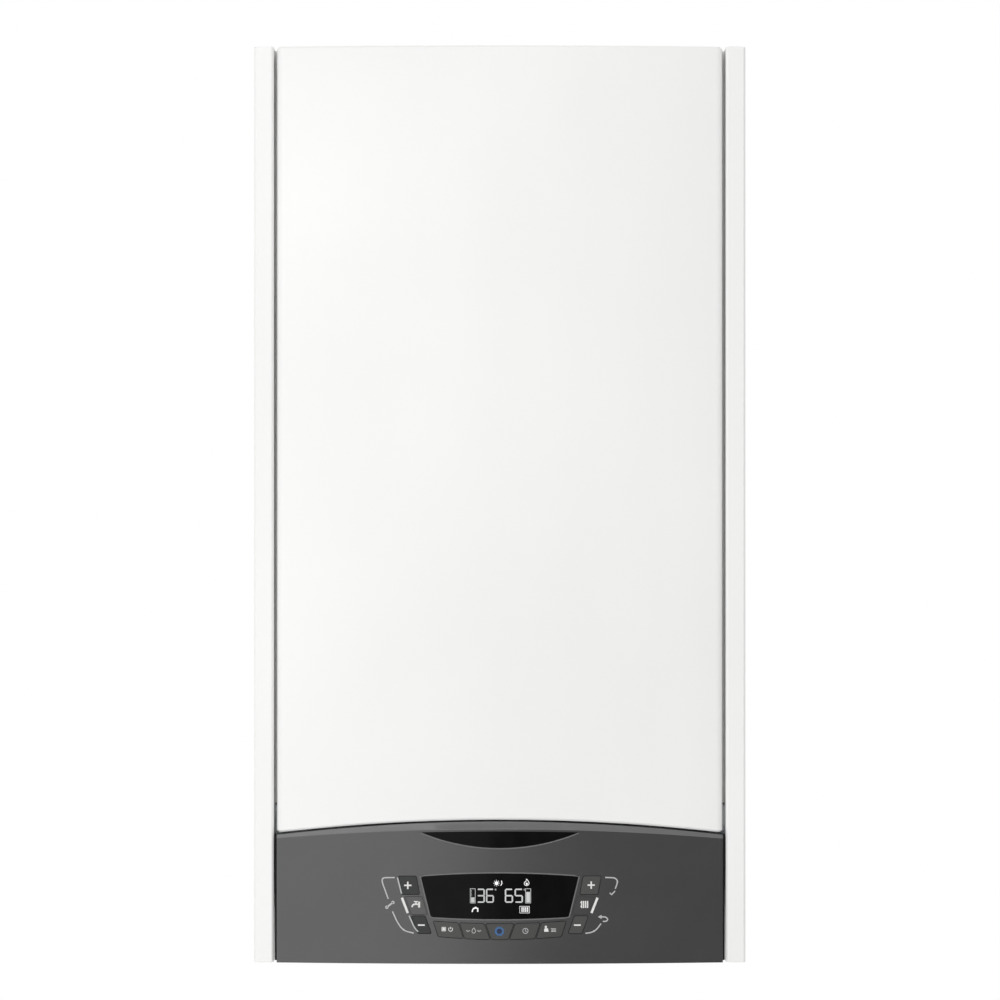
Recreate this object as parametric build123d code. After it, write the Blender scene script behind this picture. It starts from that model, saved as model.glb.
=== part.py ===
from build123d import *
import math
import os

os.makedirs("parts", exist_ok=True)

# Axes: +X to the right of someone facing the front, -Y to the front, +Z up.
# The wall is the plane Y = 0 and the hanging holes are on the line Z = 0.
# Names that end in _H are heights above the lower edge of the casing.

# Casing
CASE_W = 400.0
CASE_H = 745.0
CASE_D = 319.0
HANG_TO_TOP = 45.0
SHEET = 1.0
FOLD_CUT = 1.6
STRIP_W = 16.0
STRIP_SETBACK = 8.0
STRIP_RETURN = 16.0
LIP_W = 6.0
COVER_GAP = 2.5
CROWN = 7.0
EDGE_R = 6.0
SOFT_EDGE = 1.8
REST_GAP = 0.3
SIDE_STEP = 20.0

# Back plate
BACK_T = 1.2
BACK_FLANGE = 15.0
HANG_SPACING = 280.0
HANG_HOLE_R = 5.0
SWAGE_INSET = 13.0
SWAGE_W = 9.0
SWAGE_DEPTH = 3.0
SWAGE_LOW_H = 80.0
SWAGE_HIGH_H = 660.0
SHELF_X = 95.0
SHELF_W = 60.0
SHELF_DEPTH = 40.0

# Top plate and its gutter for the hooks of the cover
GUTTER_SETBACK = 44.0
GUTTER_DEPTH = 20.0
GUTTER_W = 11.0
HOOK_W = 60.0
HOOK_X = 110.0
HOOK_DROP = 12.0
HOOK_SETBACK = 40.0
COVER_FLANGE = 22.0

# Arched joint between the cover and the control panel
ARCH_H = 116.0
ARCH_R = 1460.0
ARCH_GAP = 1.5
TAB_X = 120.0
TAB_W = 26.0
TAB_LOW_H = 100.0
TAB_SLOT = 5.0
SCREW_H = 106.0
SCREW_R = 2.0
SCREW_HEAD_R = 4.5
SCREW_HEAD_T = 2.7
SCREW_L = 9.0
RAIL_TOP_H = 128.0
RAIL_FLANGE = 12.0
LINING_T = 6.0
LINING_INSET = 31.5
LINING_LOW_H = 200.0
LINING_HIGH_H = 700.0

# Bottom plate
FLOOR_H = 45.0
FLOOR_LIP = 16.0
HOLE_CLEARANCE = 1.5

# Connections below the floor
TAIL_PITCH = 67.0
TAIL_Y = -125.0
TAIL_LOW_H = 12.0
TAIL_NECK_H = 38.0
TAIL_NECK_CUT = 1.2
TAIL_BIG_R = 13.2
TAIL_SMALL_R = 10.48
TAIL_WALL = 2.2

# Flue
FLUE_Y = -150.0
FLUE_R = 30.0
FLUE_WALL = 2.0
FLUE_CLEARANCE = 0.3
SOCKET_L = 38.0
SOCKET_WALL = 3.2
PIPE_RING_T = 6.0
AIR_R = 50.0
AIR_SOCKET_L = 42.0
AIR_WALL = 3.2
FLUE_FLANGE = 124.0
FLUE_FLANGE_T = 3.0
FLUE_BOLT_PCD = 130.0
FLUE_BOLT_R = 2.25
FLUE_BOLTS = 4
WEB_T = 2.5
WEB_TALL = 12.0

# Expansion vessel
VESSEL_W = 320.0
VESSEL_LOW_H = 300.0
VESSEL_HIGH_H = 620.0
VESSEL_BACK = -8.0
VESSEL_DEPTH = 90.0
VESSEL_CORNER = 50.0
VESSEL_BEVEL = 14.0
VESSEL_T = 1.5
CRIMP_W = 6.0
CRIMP_T = 4.0
VESSEL_PORT_INSET = 50.0
VESSEL_PORT_HALF = 12.0
SPUD_X = 90.0
SPUD_INSET = 22.0
SPUD_L = 14.0
SPUD_WALL = 2.0
HOSE_R = 6.0
HOSE_BEND_R = 25.0
HOSE_FALL = 40.0
HOSE_RISE = 50.0
BEND_STEPS = 3
KNOB_SIDES = 10

# Mounting plate for the heat exchanger
MOUNT_Y = -107.5
MOUNT_T = 1.5
MOUNT_LOW_H = 290.0
MOUNT_HIGH_H = 660.0
MOUNT_FLANGE = 12.0
MOUNT_WINDOW_W = 70.0
WINDOW_DROP = 100.0
WINDOW_RISE = 150.0
ARM_HALF = 12.0
ARM_RISE = 8.0
ARM_FOOT = 30.0

# Primary heat exchanger
DRUM_TO_FAN = 169.0
DRUM_RISE = 38.0
DRUM_R = 105.0
DRUM_T = 2.0
DRUM_MARGIN = 206.0
SPIGOT_RISE = 14.0
SPIGOT_WALL = 3.0
SPIGOT_L = 38.0
WATER_STUB = 22.0
WATER_X = 86.0
PIPE_R = 9.0
PIPE_COLLAR_R = 12.0
PIPE_NUT_R = 13.0
PIPE_NUT_L = 10.0
DRAIN_Y = -166.0
DRAIN_R = 10.0
DRAIN_STUB = 10.0
DRAIN_WALL = 2.0

# Burner door and mixing duct
DOOR_R = 101.0
DOOR_T = 10.0
DUCT_R = 40.0
DUCT_DEPTH = 43.0
DUCT_WALL = 3.0
DUCT_LOW_X = 46.0
DUCT_HIGH_X = 72.0
DOOR_NUTS = 6
DOOR_NUT_R = 5.5
DOOR_NUT_T = 6.0
DOOR_NUT_PCD = 184.0
DOOR_NUT_TURN = -15.0
DOOR_RIB_R = 62.0
DOOR_RIB_L = 40.0
DOOR_RIB_T = 5.0
DOOR_RIB_DEPTH = 9.0
DOOR_RIB_TURNS = (115, 150, 185, 220)
ELECTRODE_X = -22.0
ELECTRODE_RISE = 56.0
ELECTRODE_PITCH = 16.0
ELECTRODE_R = 5.0
ELECTRODE_L = 24.0
ELECTRODE_EDGE = 10.0
ELECTRODE_PLATE_T = 3.0

# Fan
FAN_INSET = 65.0
FAN_SETBACK = 97.0
FAN_TALL = 44.0
FAN_RISE = 108.0
FAN_R = 56.0
FAN_WALL = 3.0
FAN_OUTLET_W = 42.0
FAN_INLET_R = 24.0
FAN_EAR_R = 5.0
FAN_EAR_T = 8.0
IMPELLER_R = 46.0
IMPELLER_GAP = 2.0
IMPELLER_PLATE = 2.0
IMPELLER_HUB_L = 16.0
IMPELLER_BLADES = 9
BLADE_T = 1.2
BLADE_TURN = 25.0
BLADE_MARGIN = 6.5
SHAFT_R = 4.0
SHAFT_L = 10.0
RUNNING_FIT = 0.08
MOTOR_R = 40.0
MOTOR_L = 35.0
PLUG_HALF = 16.0
PLUG_OUT = 12.0
PLUG_RISE = 8.0
PLUG_TALL = 18.0
VENTURI_R = 32.0
VENTURI_L = 41.0
VENTURI_THROAT_R = 18.0
VENTURI_FOOT_EDGE = 2.0
VENTURI_FOOT_T = 4.0
PORT_HALF = 8.0
PORT_REACH = 22.0
PORT_DROP = 30.0
PORT_TALL = 18.0
SILENCER_W = 96.0
SILENCER_D = 90.0
SILENCER_L = 160.0
SILENCER_T = 2.5
SILENCER_OUT = 2.0
SILENCER_BACK = 4.0
SILENCER_CORNER = 8.0
SILENCER_HOLE_R = 26.0
SLOTS = 4
SLOT_PITCH = 18.0
SLOT_HALF = 4.0
SLOT_SIDE = 16.0
FINS = 3
FIN_PITCH = 40.0
FIN_INSET = 10.0
FIN_PROUD = 2.0
FIN_HALF = 3.0

# Gas valve
VALVE_SETBACK = 111.0
VALVE_W = 70.0
VALVE_D = 56.0
VALVE_LOW_H = 285.0
VALVE_L = 44.0
VALVE_CORNER = 5.0
VALVE_INLET_OUT = 23.0
VALVE_CAP_RISE = 22.0
VALVE_CAP_X = -14.0
VALVE_CAP_R = 12.0
VALVE_CAP_L = 12.0
VALVE_SCREW_X = 18.0
VALVE_SCREW_R = 7.0
VALVE_SCREW_L = 6.0
OUTLET_RISE = 14.0
SOLENOID_X = 16.5
SOLENOID_R = 14.0
SOLENOID_L = 22.0
FEED_OUT = 53.0
FEED_BEHIND = 30.0
FEED_R = 5.0
FEED_NUT_R = 9.0
FEED_NUT_L = 9.0
GAS_R = 8.0
GAS_NUT_R = 13.0
GAS_NUT_L = 9.0
GAS_BEND_R = 30.0
GAS_BEND_RISE = 5.0
GAS_BEND_DROP = 50.0

# Hydraulic blocks
BLOCK_Y = -125.0
BLOCK_DEPTH = 50.0
BLOCK_TOP_H = 165.0
BODY_R = 19.0
INNER_BODY_R = 16.0
INNER_DROP = 35.0
ARM_LOW_H = 75.0
ARM_TALL = 34.0
ARM_DEPTH_HALF = 15.0
FOOT_HALF = 17.0
FOOT_T = 5.0
NECK_OUT = 22.0
NECK_IN = 4.0
SOCKET_HALF = 13.0
PORT_DEPTH = 26.0

# Circulation pump
PUMP_INSET = 66.0
PUMP_H = 128.0
PUMP_BACK = -150.0
PUMP_VOLUTE_R = 46.0
PUMP_VOLUTE_L = 24.0
PUMP_MOTOR_R = 43.0
PUMP_MOTOR_L = 44.0
PUMP_NECK_HALF = 23.0
PUMP_RING_T = 6.0
PUMP_BOX_HALF_W = 30.0
PUMP_BOX_HALF_T = 26.0
PUMP_BOX_OUT = 12.0
PUMP_SCREW_R = 7.0
PUMP_SHAFT_L = 18.0
PUMP_IMPELLER_R = 30.0
PUMP_IMPELLER_T = 10.0
PUMP_HUB_R = 12.0
PUMP_VANES = 5
PUMP_VANE_T = 2.0
PUMP_VANE_TURN = 30.0
PUMP_CAVITY_GAP = 2.0
PUMP_CAVITY_L = 18.0

# Plate heat exchanger for the hot water
PLATE_W = 190.0
PLATE_TALL = 74.0
PLATE_LOW_H = 80.0
PLATE_DEPTH = 40.0
PLATE_RIDGES = 4
PLATE_CORNER = 12.0
PLATE_RIDGE_DEPTH = 1.6
PLATE_WALL = 4.0

# Diverter valve
DIVERTER_Y = -152.0
DIVERTER_BORE_R = 11.0
DIVERTER_ROD_R = 3.5
DIVERTER_DISC_R = 9.0
DIVERTER_STROKE = 8.0
DISC_PITCH = 40.0
DISC_T = 5.0
GUIDE_L = 6.0
SPINDLE_RISE = 6.0
ACTUATOR_W = 50.0
ACTUATOR_D = 42.0
ACTUATOR_L = 54.0
ACTUATOR_BACK = 14.0
ACTUATOR_CORNER = 4.0
ACTUATOR_FOOT_R = 13.0
ACTUATOR_FOOT_L = 6.0
CONNECTOR_HALF = 10.0
CONNECTOR_OUT = 8.0
CONNECTOR_TALL = 12.0

# Safety valve, filling tap and air vent
SAFETY_TO_PUMP = 64.0
SAFETY_Y = -166.0
SAFETY_LOW_H = 98.0
SAFETY_TOP_H = 146.0
SAFETY_R = 11.0
SAFETY_WEB = 8.0
SAFETY_NUT_R = 13.0
SAFETY_NUT_L = 8.0
SAFETY_KNOB_R = 12.5
SAFETY_KNOB_L = 16.0
DISCHARGE_R = 7.5
DISCHARGE_WALL = 2.0
FILL_Y = -85.0
FILL_KNOB_R = 14.0
FILL_KNOB_L = 20.0
FILL_KNOB_DROP = 5.0
FILL_STEM_L = 13.0
FILL_WELL = 15.0
VENT_TO_PUMP = 42.0
VENT_R = 17.0
VENT_L = 46.0
VENT_CAP_R = 6.0
VENT_CAP_L = 9.0

# Condensate trap
TRAP_R = 30.0
TRAP_LOW_H = 120.0
TRAP_HIGH_H = 288.0
TRAP_T = 2.0
TRAP_DRAIN_R = 10.0
TRAP_CAP_L = 14.0
TRAP_CAP_EDGE = 3.0
TRAP_WELL = 61.0
CUFF_L = 10.0
CUFF_T = 4.0

# Sensors: one clip on each riser and one on the flow block
FLOW_SENSOR_RISE = 135.0
RETURN_SENSOR_RISE = 165.0
SENSOR_TALL = 10.0
CLIP_HALF = 12.0
CLIP_PLUG_HALF = 5.0
PRESSURE_W = 20.0
PRESSURE_TALL = 20.0

# Control panel
PANEL_WALL = 2.5
PANEL_DEPTH = 16.0
BEVEL_LOW_H = 108.7
BEVEL_ARC_R = 1160.0
BEVEL_STEEPNESS = 3.0
BOX_INSET = 31.5
BOX_DEPTH = 80.0
BOX_LOW_H = 6.0
BOX_HIGH_H = 80.0
BOX_T = 2.0
PLATE_SETBACK = 1.0
PLATE_INSET = 5.5
PLATE_HIGH_H = 98.0
BOSS_R = 5.0
BOSS_SINK = 1.2
BOSS_INSET = 13.5
BOSS_LOW_H = 14.0
BOSS_HIGH_H = 88.0
HINGE_SETBACK = 6.0
HINGE_H = 14.0
HINGE_PIN_R = 4.0
HINGE_LUG_R = 7.0
HINGE_LUG_T = 6.0
HINGE_PIN_L = 8.0
BRACKET_GAP = 2.0
BRACKET_T = 3.0
BRACKET_OVERHANG = 4.0
GROMMET_W = 120.0
GROMMET_RISE = 6.0
GROMMET_TALL = 16.0
GROMMET_OUT = 6.0
GROMMET_WALL = 4.0
GROMMET_HOLES = 4
BOARD_SETBACK = 3.0
BOARD_T = 1.6
SWITCH_W = 6.0
SWITCH_T = 2.7
MODULE_X = (70.0, 122.0)
MODULE_H = (20.0, 62.0)
MODULE_DEPTH = 38.0
RELAYS = 4
RELAY_X = -110.0
RELAY_PITCH = 26.0
RELAY_W = 18.0
RELAY_H = (46.0, 74.0)
RELAY_DEPTH = 16.0

# Display window and badge
WINDOW_TOP_HALF = 64.0
WINDOW_LOW_HALF = 55.9
WINDOW_TOP_H = 70.7
WINDOW_TOP_RISE = 2.6
WINDOW_LOW_H = 37.9
WINDOW_LOW_SAG = 1.7
WINDOW_CORNER = 1.2
INSERT_GAP = 0.25
INSERT_SINK = 0.3
INSERT_T = 2.2
POCKET_DEPTH = 2.5
POCKET_FLOOR = 2.5
BACKING_EDGE = 1.2
BADGE_HALF = 64.0
BADGE_TOP_H = 107.4
BADGE_TIP_H = 106.6
BADGE_LOW_H = 94.0

# Keys beside the window: one slanted pair on each side
PLUS_X = 73.6
PLUS_KEY_H = 63.6
PLUS_W = 14.4
PLUS_TALL = 14.6
PLUS_LEAN = 0.18
MINUS_X = 63.6
MINUS_KEY_H = 31.6
MINUS_W = 11.0
MINUS_TALL = 14.0
MINUS_LEAN = 0.36

# Keys in a curved row below the window
ROW_TOP_HALF = 53.8
ROW_LOW_HALF = 49.8
ROW_TOP_H = 34.5
ROW_LOW_H = 22.2
ROW_TOP_SAG = 2.1
ROW_LOW_SAG = 2.4
ROW_GAP = 1.4
INNER_SPLIT_TOP = 12.8
INNER_SPLIT_LOW = 8.2
OUTER_SPLIT_TOP = 33.6
OUTER_SPLIT_LOW = 29.6
KEY_GAP = 0.45
KEY_SINK = 0.2
KEY_CAP_T = 2.3
KEY_CORNER = 0.8
KEY_TRAVEL = 1.0
KEY_LUG_W = 4.0
KEY_LUG_T = 1.5
KEY_LUG_REACH = 1.4
KEY_LUG_GAP = 0.5
KEY_STEM_HALF = 2.0
KEY_STEM_SINK = 1.2

# Values that follow from those above
TOP_Z = HANG_TO_TOP
BASE_Z = TOP_Z - CASE_H
HALF_W = CASE_W / 2
COVER_HALF = HALF_W - STRIP_W - COVER_GAP
INNER_HALF = HALF_W - SHEET
BACK_HALF = HALF_W - STRIP_W + SHEET
STRIP_FRONT = -CASE_D + STRIP_SETBACK
SWAGE_X = BACK_HALF - SWAGE_INSET
LINING_HALF = COVER_HALF - LINING_INSET
BOX_HALF = COVER_HALF - BOX_INSET
PLATE_HALF = COVER_HALF - PLATE_INSET
BOSS_X = COVER_HALF - BOSS_INSET
BRACKET_X = BOX_HALF + BRACKET_GAP
FAN_X = HALF_W - FAN_INSET
DRUM_X = FAN_X - DRUM_TO_FAN
VALVE_X = FAN_X
VALVE_INLET_X = VALVE_X - VALVE_INLET_OUT
FEED_X = FAN_X + FEED_OUT
PUMP_X = HALF_W - PUMP_INSET
SAFETY_X = PUMP_X - SAFETY_TO_PUMP
VENT_X = PUMP_X - VENT_TO_PUMP
FILL_X = 1.5 * TAIL_PITCH
VESSEL_PORT_X = HALF_W - VESSEL_PORT_INSET
COVER_BACK = -CASE_D + COVER_FLANGE
RAIL_FRONT = COVER_BACK + REST_GAP
FAN_LOW_H = VALVE_LOW_H + FAN_RISE
FAN_HIGH_H = FAN_LOW_H + FAN_TALL
FAN_Y = -CASE_D + FAN_SETBACK
VALVE_Y = -CASE_D + VALVE_SETBACK
FEED_Y = VALVE_Y + FEED_BEHIND
DRUM_BACK = MOUNT_Y - MOUNT_T
DRUM_DEPTH = CASE_D - DRUM_MARGIN
DRUM_FRONT = DRUM_BACK - DRUM_DEPTH
DOOR_BACK = DRUM_FRONT
DOOR_FRONT = DOOR_BACK - DOOR_T
DUCT_FRONT = DOOR_FRONT - DUCT_DEPTH
DUCT_END_X = FAN_X - FAN_R - 1.0
BLOCK_BACK = BLOCK_Y + BLOCK_DEPTH / 2
DRUM_H = FAN_HIGH_H + DRUM_RISE
WATER_DROP = math.sqrt(DRUM_R ** 2 - WATER_X ** 2)
FLOW_X = DRUM_X - WATER_X
RETURN_X = DRUM_X + WATER_X
PUMP_FACE = PUMP_BACK - PUMP_VOLUTE_L
REACH = HALF_W + 60.0
PANEL_BACK = -CASE_D + PANEL_DEPTH
PLATE_FRONT = PANEL_BACK + PLATE_SETBACK
BOARD_Y = PLATE_FRONT + BOARD_SETBACK
BOX_BACK = PLATE_FRONT + BOX_DEPTH
HINGE_Y = BOX_BACK + HINGE_SETBACK
TOP_DEPTH = CASE_D - GUTTER_SETBACK
FLOOR_DEPTH = -HINGE_Y - BRACKET_OVERHANG


def up(height):
    return BASE_Z + height


def slab(x0, x1, y0, y1, h0, h1):
    # rectangular block between two corners
    middle = Pos((x0 + x1) / 2, (y0 + y1) / 2, up((h0 + h1) / 2))
    return middle * Box(abs(x1 - x0), abs(y1 - y0), abs(h1 - h0))


def chamfered_box(x0, x1, y0, y1, h0, h1, cut):
    # box with its four upright edges cut off
    box = slab(x0, x1, y0, y1, h0, h1)
    uprights = [edge for edge in box.edges() if edge.bounding_box().size.Z > h1 - h0 - 1]
    return chamfer(uprights, cut)


def side_count(radius):
    return 4 * round(2 + radius / SIDE_STEP)


def disc(radius):
    # round outline with flat sides, more of them for a larger one
    return RegularPolygon(radius, side_count(radius))


def post(x, y, radius, h0, h1):
    # upright round form that nothing fits or turns in
    return Pos(x, y, up(h0)) * extrude(disc(radius), h1 - h0)


def barrel(x, height, radius, y0, y1):
    # the same, lying front to back
    return Pos(x, y1, up(height)) * Rot(90, 0, 0) * extrude(disc(radius), y1 - y0)


def clear_hole(x, y, radius, h0, h1):
    # upright many-sided hole that a round form of that radius passes through
    face = RegularPolygon(radius, side_count(radius), major_radius=False)
    return Pos(x, y, up(h0)) * extrude(face, h1 - h0)


def shaft(x, y, radius, h0, h1):
    # upright cylinder for a fit or a connection
    return Pos(x, y, up((h0 + h1) / 2)) * Cylinder(radius, h1 - h0)


def axle(x, height, radius, y0, y1):
    # the same, lying front to back
    return Pos(x, (y0 + y1) / 2, up(height)) * Rot(90, 0, 0) * Cylinder(radius, y1 - y0)


def rod(x0, x1, y, height, radius):
    # the same, lying side to side
    return Pos((x0 + x1) / 2, y, up(height)) * Rot(0, 90, 0) * Cylinder(radius, abs(x1 - x0))


def mirrored(shape):
    return mirror(shape, about=Plane.YZ)


def both(shape):
    return shape + mirrored(shape)


def middle_of(shape):
    return shape.bounding_box().center()


def outline(points):
    return make_face(Polyline(*points, close=True))


def prism(face, front, back):
    # face drawn as (x, z), swept from the plane Y = back to the plane Y = front
    return extrude(Plane.XZ.offset(-back) * face, back - front)


def strip(face, half):
    # face drawn as (y, z), swept sideways
    return extrude(Plane.YZ.offset(-half) * face, 2 * half)


def folded(points, side):
    # cross-section of a folded sheet with a short flat in each fold
    # the sheet lies to the left of its line for side 1, and to the right for side -1
    corners = [Vector(*point) for point in points]
    line = corners[:1]
    for before, corner, after in zip(corners, corners[1:], corners[2:]):
        line.append(corner + (before - corner).normalized() * FOLD_CUT)
        line.append(corner + (after - corner).normalized() * FOLD_CUT)
    line.append(corners[-1])
    ways = [(end - start).normalized() for start, end in zip(line, line[1:])]
    far_side = []
    for corner, before, after in zip(line, ways[:1] + ways, ways + ways[-1:]):
        across = Vector(-before.Y - after.Y, before.X + after.X)
        far_side.append(corner + across * (side * SHEET / (1 + before.dot(after))))
    return outline(line + far_side[::-1])


def hexagon(x, y, radius, h0, h1):
    flat = extrude(RegularPolygon(radius, 6), h1 - h0)
    return Pos(x, y, up(h0)) * flat


def tube_path(points, bend, radius):
    # bent pipe through a list of points, with each bend made of short straight lengths
    smooth = FilletPolyline(*points, radius=bend)
    corners = []
    for edge in smooth.edges():
        steps = 1 if edge.geom_type == GeomType.LINE else BEND_STEPS
        corners += [edge @ (step / steps) for step in range(steps)]
    corners.append(smooth @ 1)
    path = Polyline(*corners)
    start = Plane(path @ 0, z_dir=path % 0)
    return sweep(start * disc(radius), path=path, transition=Transition.RIGHT)


def knob(x, y, radius, low, high):
    # many-sided grip
    return Pos(x, y, up(low)) * extrude(RegularPolygon(radius, KNOB_SIDES), high - low)


def bar_arc(half, end_h, rise):
    return ThreePointArc((-half, up(end_h)), (0, up(end_h + rise)), (half, up(end_h)))


def lens(top_half, top_h, top_rise, low_half, low_h, low_rise):
    # shape between two arcs with slanted ends
    top = bar_arc(top_half, top_h, top_rise)
    low = bar_arc(low_half, low_h, low_rise)
    right = Line((top_half, up(top_h)), (low_half, up(low_h)))
    left = Line((-low_half, up(low_h)), (-top_half, up(top_h)))
    return make_face([top, right, low, left])


# Crowned shapes shared by the cover and the control panel

def crowned_outline(inset, back):
    half = COVER_HALF - inset
    front = -CASE_D + inset
    edge = front + CROWN
    nose = ThreePointArc((-half, edge), (0, front), (half, edge))
    rest = Polyline((half, edge), (half, back), (-half, back), (-half, edge))
    face = make_face([nose, rest])
    corners = [v for v in face.vertices() if abs(v.Y - edge) < 0.001]
    return fillet(corners, EDGE_R - min(inset, EDGE_R - 1.0))


def crowned_block(inset, back):
    return extrude(Pos(0, 0, up(-1)) * crowned_outline(inset, back), CASE_H + 2)


def arch_region(level, radius, limit):
    # area between an arch over the whole width and a level line
    drop = radius - math.sqrt(radius ** 2 - REACH ** 2)
    arc = bar_arc(REACH, level - drop, drop)
    end = up(level - drop)
    rest = Polyline((REACH, end), (REACH, up(limit)), (-REACH, up(limit)), (-REACH, end))
    return make_face([arc, rest])


def arched_block(inset, back, level, limit):
    region = arch_region(level, ARCH_R, limit)
    return crowned_block(inset, back) & prism(region, -CASE_D - 1, back + 1)


def crowned_skin(sink, thickness):
    # layer that follows the front surface
    return crowned_block(sink, PANEL_BACK) - crowned_block(sink + thickness, PANEL_BACK + 1)


def soften(block, back, width):
    # breaks the edges round the front, except those that run up and down
    chosen = []
    for edge in block.edges():
        size = edge.bounding_box().size
        if edge.center().Y < back - 0.01 and max(size.X, size.Y) > 0.01:
            chosen.append(edge)
    return chamfer(chosen, width)


# Casing

def back_plate():
    plate = slab(-BACK_HALF, BACK_HALF, -BACK_T, 0, 0, CASE_H)
    plate += slab(-BACK_HALF, BACK_HALF, -SHEET - FOLD_CUT, 0, CASE_H - SHEET, CASE_H)
    edge = slab(BACK_HALF - SHEET, BACK_HALF, -BACK_FLANGE, 0, 0, CASE_H - SHEET)
    plate += both(edge)
    rib = slab(SWAGE_X - SWAGE_W, SWAGE_X, -BACK_T - SWAGE_DEPTH, 0, SWAGE_LOW_H, SWAGE_HIGH_H)
    hollow = slab(SWAGE_X - SWAGE_W + BACK_T, SWAGE_X - BACK_T, -SWAGE_DEPTH, 1,
                  SWAGE_LOW_H + BACK_T, SWAGE_HIGH_H - BACK_T)
    plate += both(rib)
    plate -= both(hollow)
    shelf = slab(SHELF_X - SHELF_W / 2, SHELF_X + SHELF_W / 2, -SHELF_DEPTH, 0,
                 VESSEL_LOW_H - SHEET, VESSEL_LOW_H)
    plate += both(shelf)
    hang_h = CASE_H - HANG_TO_TOP
    hole = axle(HANG_SPACING / 2, hang_h, HANG_HOLE_R, -BACK_FLANGE, 1)
    return plate - both(hole)


def side_panel():
    inner = HALF_W - STRIP_W
    line = [(inner + SHEET, 0), (HALF_W, 0), (HALF_W, STRIP_FRONT), (inner, STRIP_FRONT),
            (inner, STRIP_FRONT + STRIP_RETURN)]
    body = extrude(Pos(0, 0, BASE_Z) * folded(line, -1), CASE_H)
    cap = slab(inner + SHEET, HALF_W - SHEET, STRIP_FRONT + SHEET, -TOP_DEPTH,
               CASE_H - SHEET, CASE_H)
    back = STRIP_FRONT + STRIP_RETURN
    lip = slab(inner - LIP_W, inner + SHEET, back - SHEET, back, RAIL_TOP_H + REST_GAP,
               CASE_H - SHEET - REST_GAP)
    return body + cap + lip


def top_plate():
    line = [(-SHEET - FOLD_CUT, TOP_Z), (-TOP_DEPTH, TOP_Z), (-TOP_DEPTH, TOP_Z - GUTTER_DEPTH),
            (-TOP_DEPTH - GUTTER_W, TOP_Z - GUTTER_DEPTH),
            (-TOP_DEPTH - GUTTER_W, TOP_Z - SHEET - REST_GAP)]
    plate = strip(folded(line, 1), INNER_HALF)
    plate -= post(0, FLUE_Y, AIR_R + AIR_WALL + REST_GAP, CASE_H - 5, CASE_H + 1)
    ring = PolarLocations(FLUE_BOLT_PCD / 2, FLUE_BOLTS, 45)
    drill = Pos(0, FLUE_Y, TOP_Z) * ring * Cylinder(FLUE_BOLT_R, 20)
    return plate - drill


def tail_radius(place):
    return TAIL_SMALL_R if abs(place) == 1 else TAIL_BIG_R


def bottom_plate():
    line = [(-BACK_T, up(FLOOR_H)), (-FLOOR_DEPTH, up(FLOOR_H)),
            (-FLOOR_DEPTH, up(FLOOR_H + FLOOR_LIP))]
    plate = strip(folded(line, -1), INNER_HALF)
    plate -= both(slab(BACK_HALF - SHEET, HALF_W, -BACK_FLANGE, 0, FLOOR_H - 1, FLOOR_H + 2))
    for place in range(-2, 3):
        hole_r = tail_radius(place) + HOLE_CLEARANCE
        plate -= post(place * TAIL_PITCH, TAIL_Y, hole_r, FLOOR_H - 5, FLOOR_H + 5)
    plate -= clear_hole(DRUM_X, DRAIN_Y, TRAP_DRAIN_R + REST_GAP, FLOOR_H - 5, FLOOR_H + 5)
    plate -= post(SAFETY_X, SAFETY_Y, DISCHARGE_R + HOLE_CLEARANCE, FLOOR_H - 5, FLOOR_H + 5)
    plate -= post(FILL_X, FILL_Y, SHAFT_R + HOLE_CLEARANCE, FLOOR_H - 5, FLOOR_H + 5)
    reach = HINGE_PIN_R + HINGE_LUG_R
    bracket = slab(BRACKET_X, BRACKET_X + BRACKET_T, HINGE_Y - reach, HINGE_Y + reach,
                   HINGE_H - reach + 2, FLOOR_H)
    bore = clear_hole(0, 0, HINGE_PIN_R + RUNNING_FIT, 0, BRACKET_T + 2)
    turned = Rot(0, 90, 0) * Pos(0, 0, -BASE_Z) * bore
    bracket -= Pos(BRACKET_X - 1, HINGE_Y, up(HINGE_H)) * turned
    return plate + both(bracket)


def cross_rail():
    half = HALF_W - STRIP_W
    line = [(RAIL_FRONT + RAIL_FLANGE, up(TAB_LOW_H)), (RAIL_FRONT, up(TAB_LOW_H)),
            (RAIL_FRONT, up(RAIL_TOP_H)), (RAIL_FRONT + RAIL_FLANGE, up(RAIL_TOP_H))]
    rail = strip(folded(line, -1), half)
    hole = barrel(TAB_X, SCREW_H, SCREW_R + REST_GAP / 2, RAIL_FRONT - 1, RAIL_FRONT + 3)
    return rail - both(hole)


def casing_screws():
    head_back = COVER_BACK - SHEET - REST_GAP
    flat = extrude(RegularPolygon(SCREW_HEAD_R, 6), SCREW_HEAD_T)
    head = Pos(TAB_X, head_back, up(SCREW_H)) * Rot(90, 0, 0) * flat
    shank = barrel(TAB_X, SCREW_H, SCREW_R, head_back, head_back + SCREW_L)
    return both(head + shank)


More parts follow.
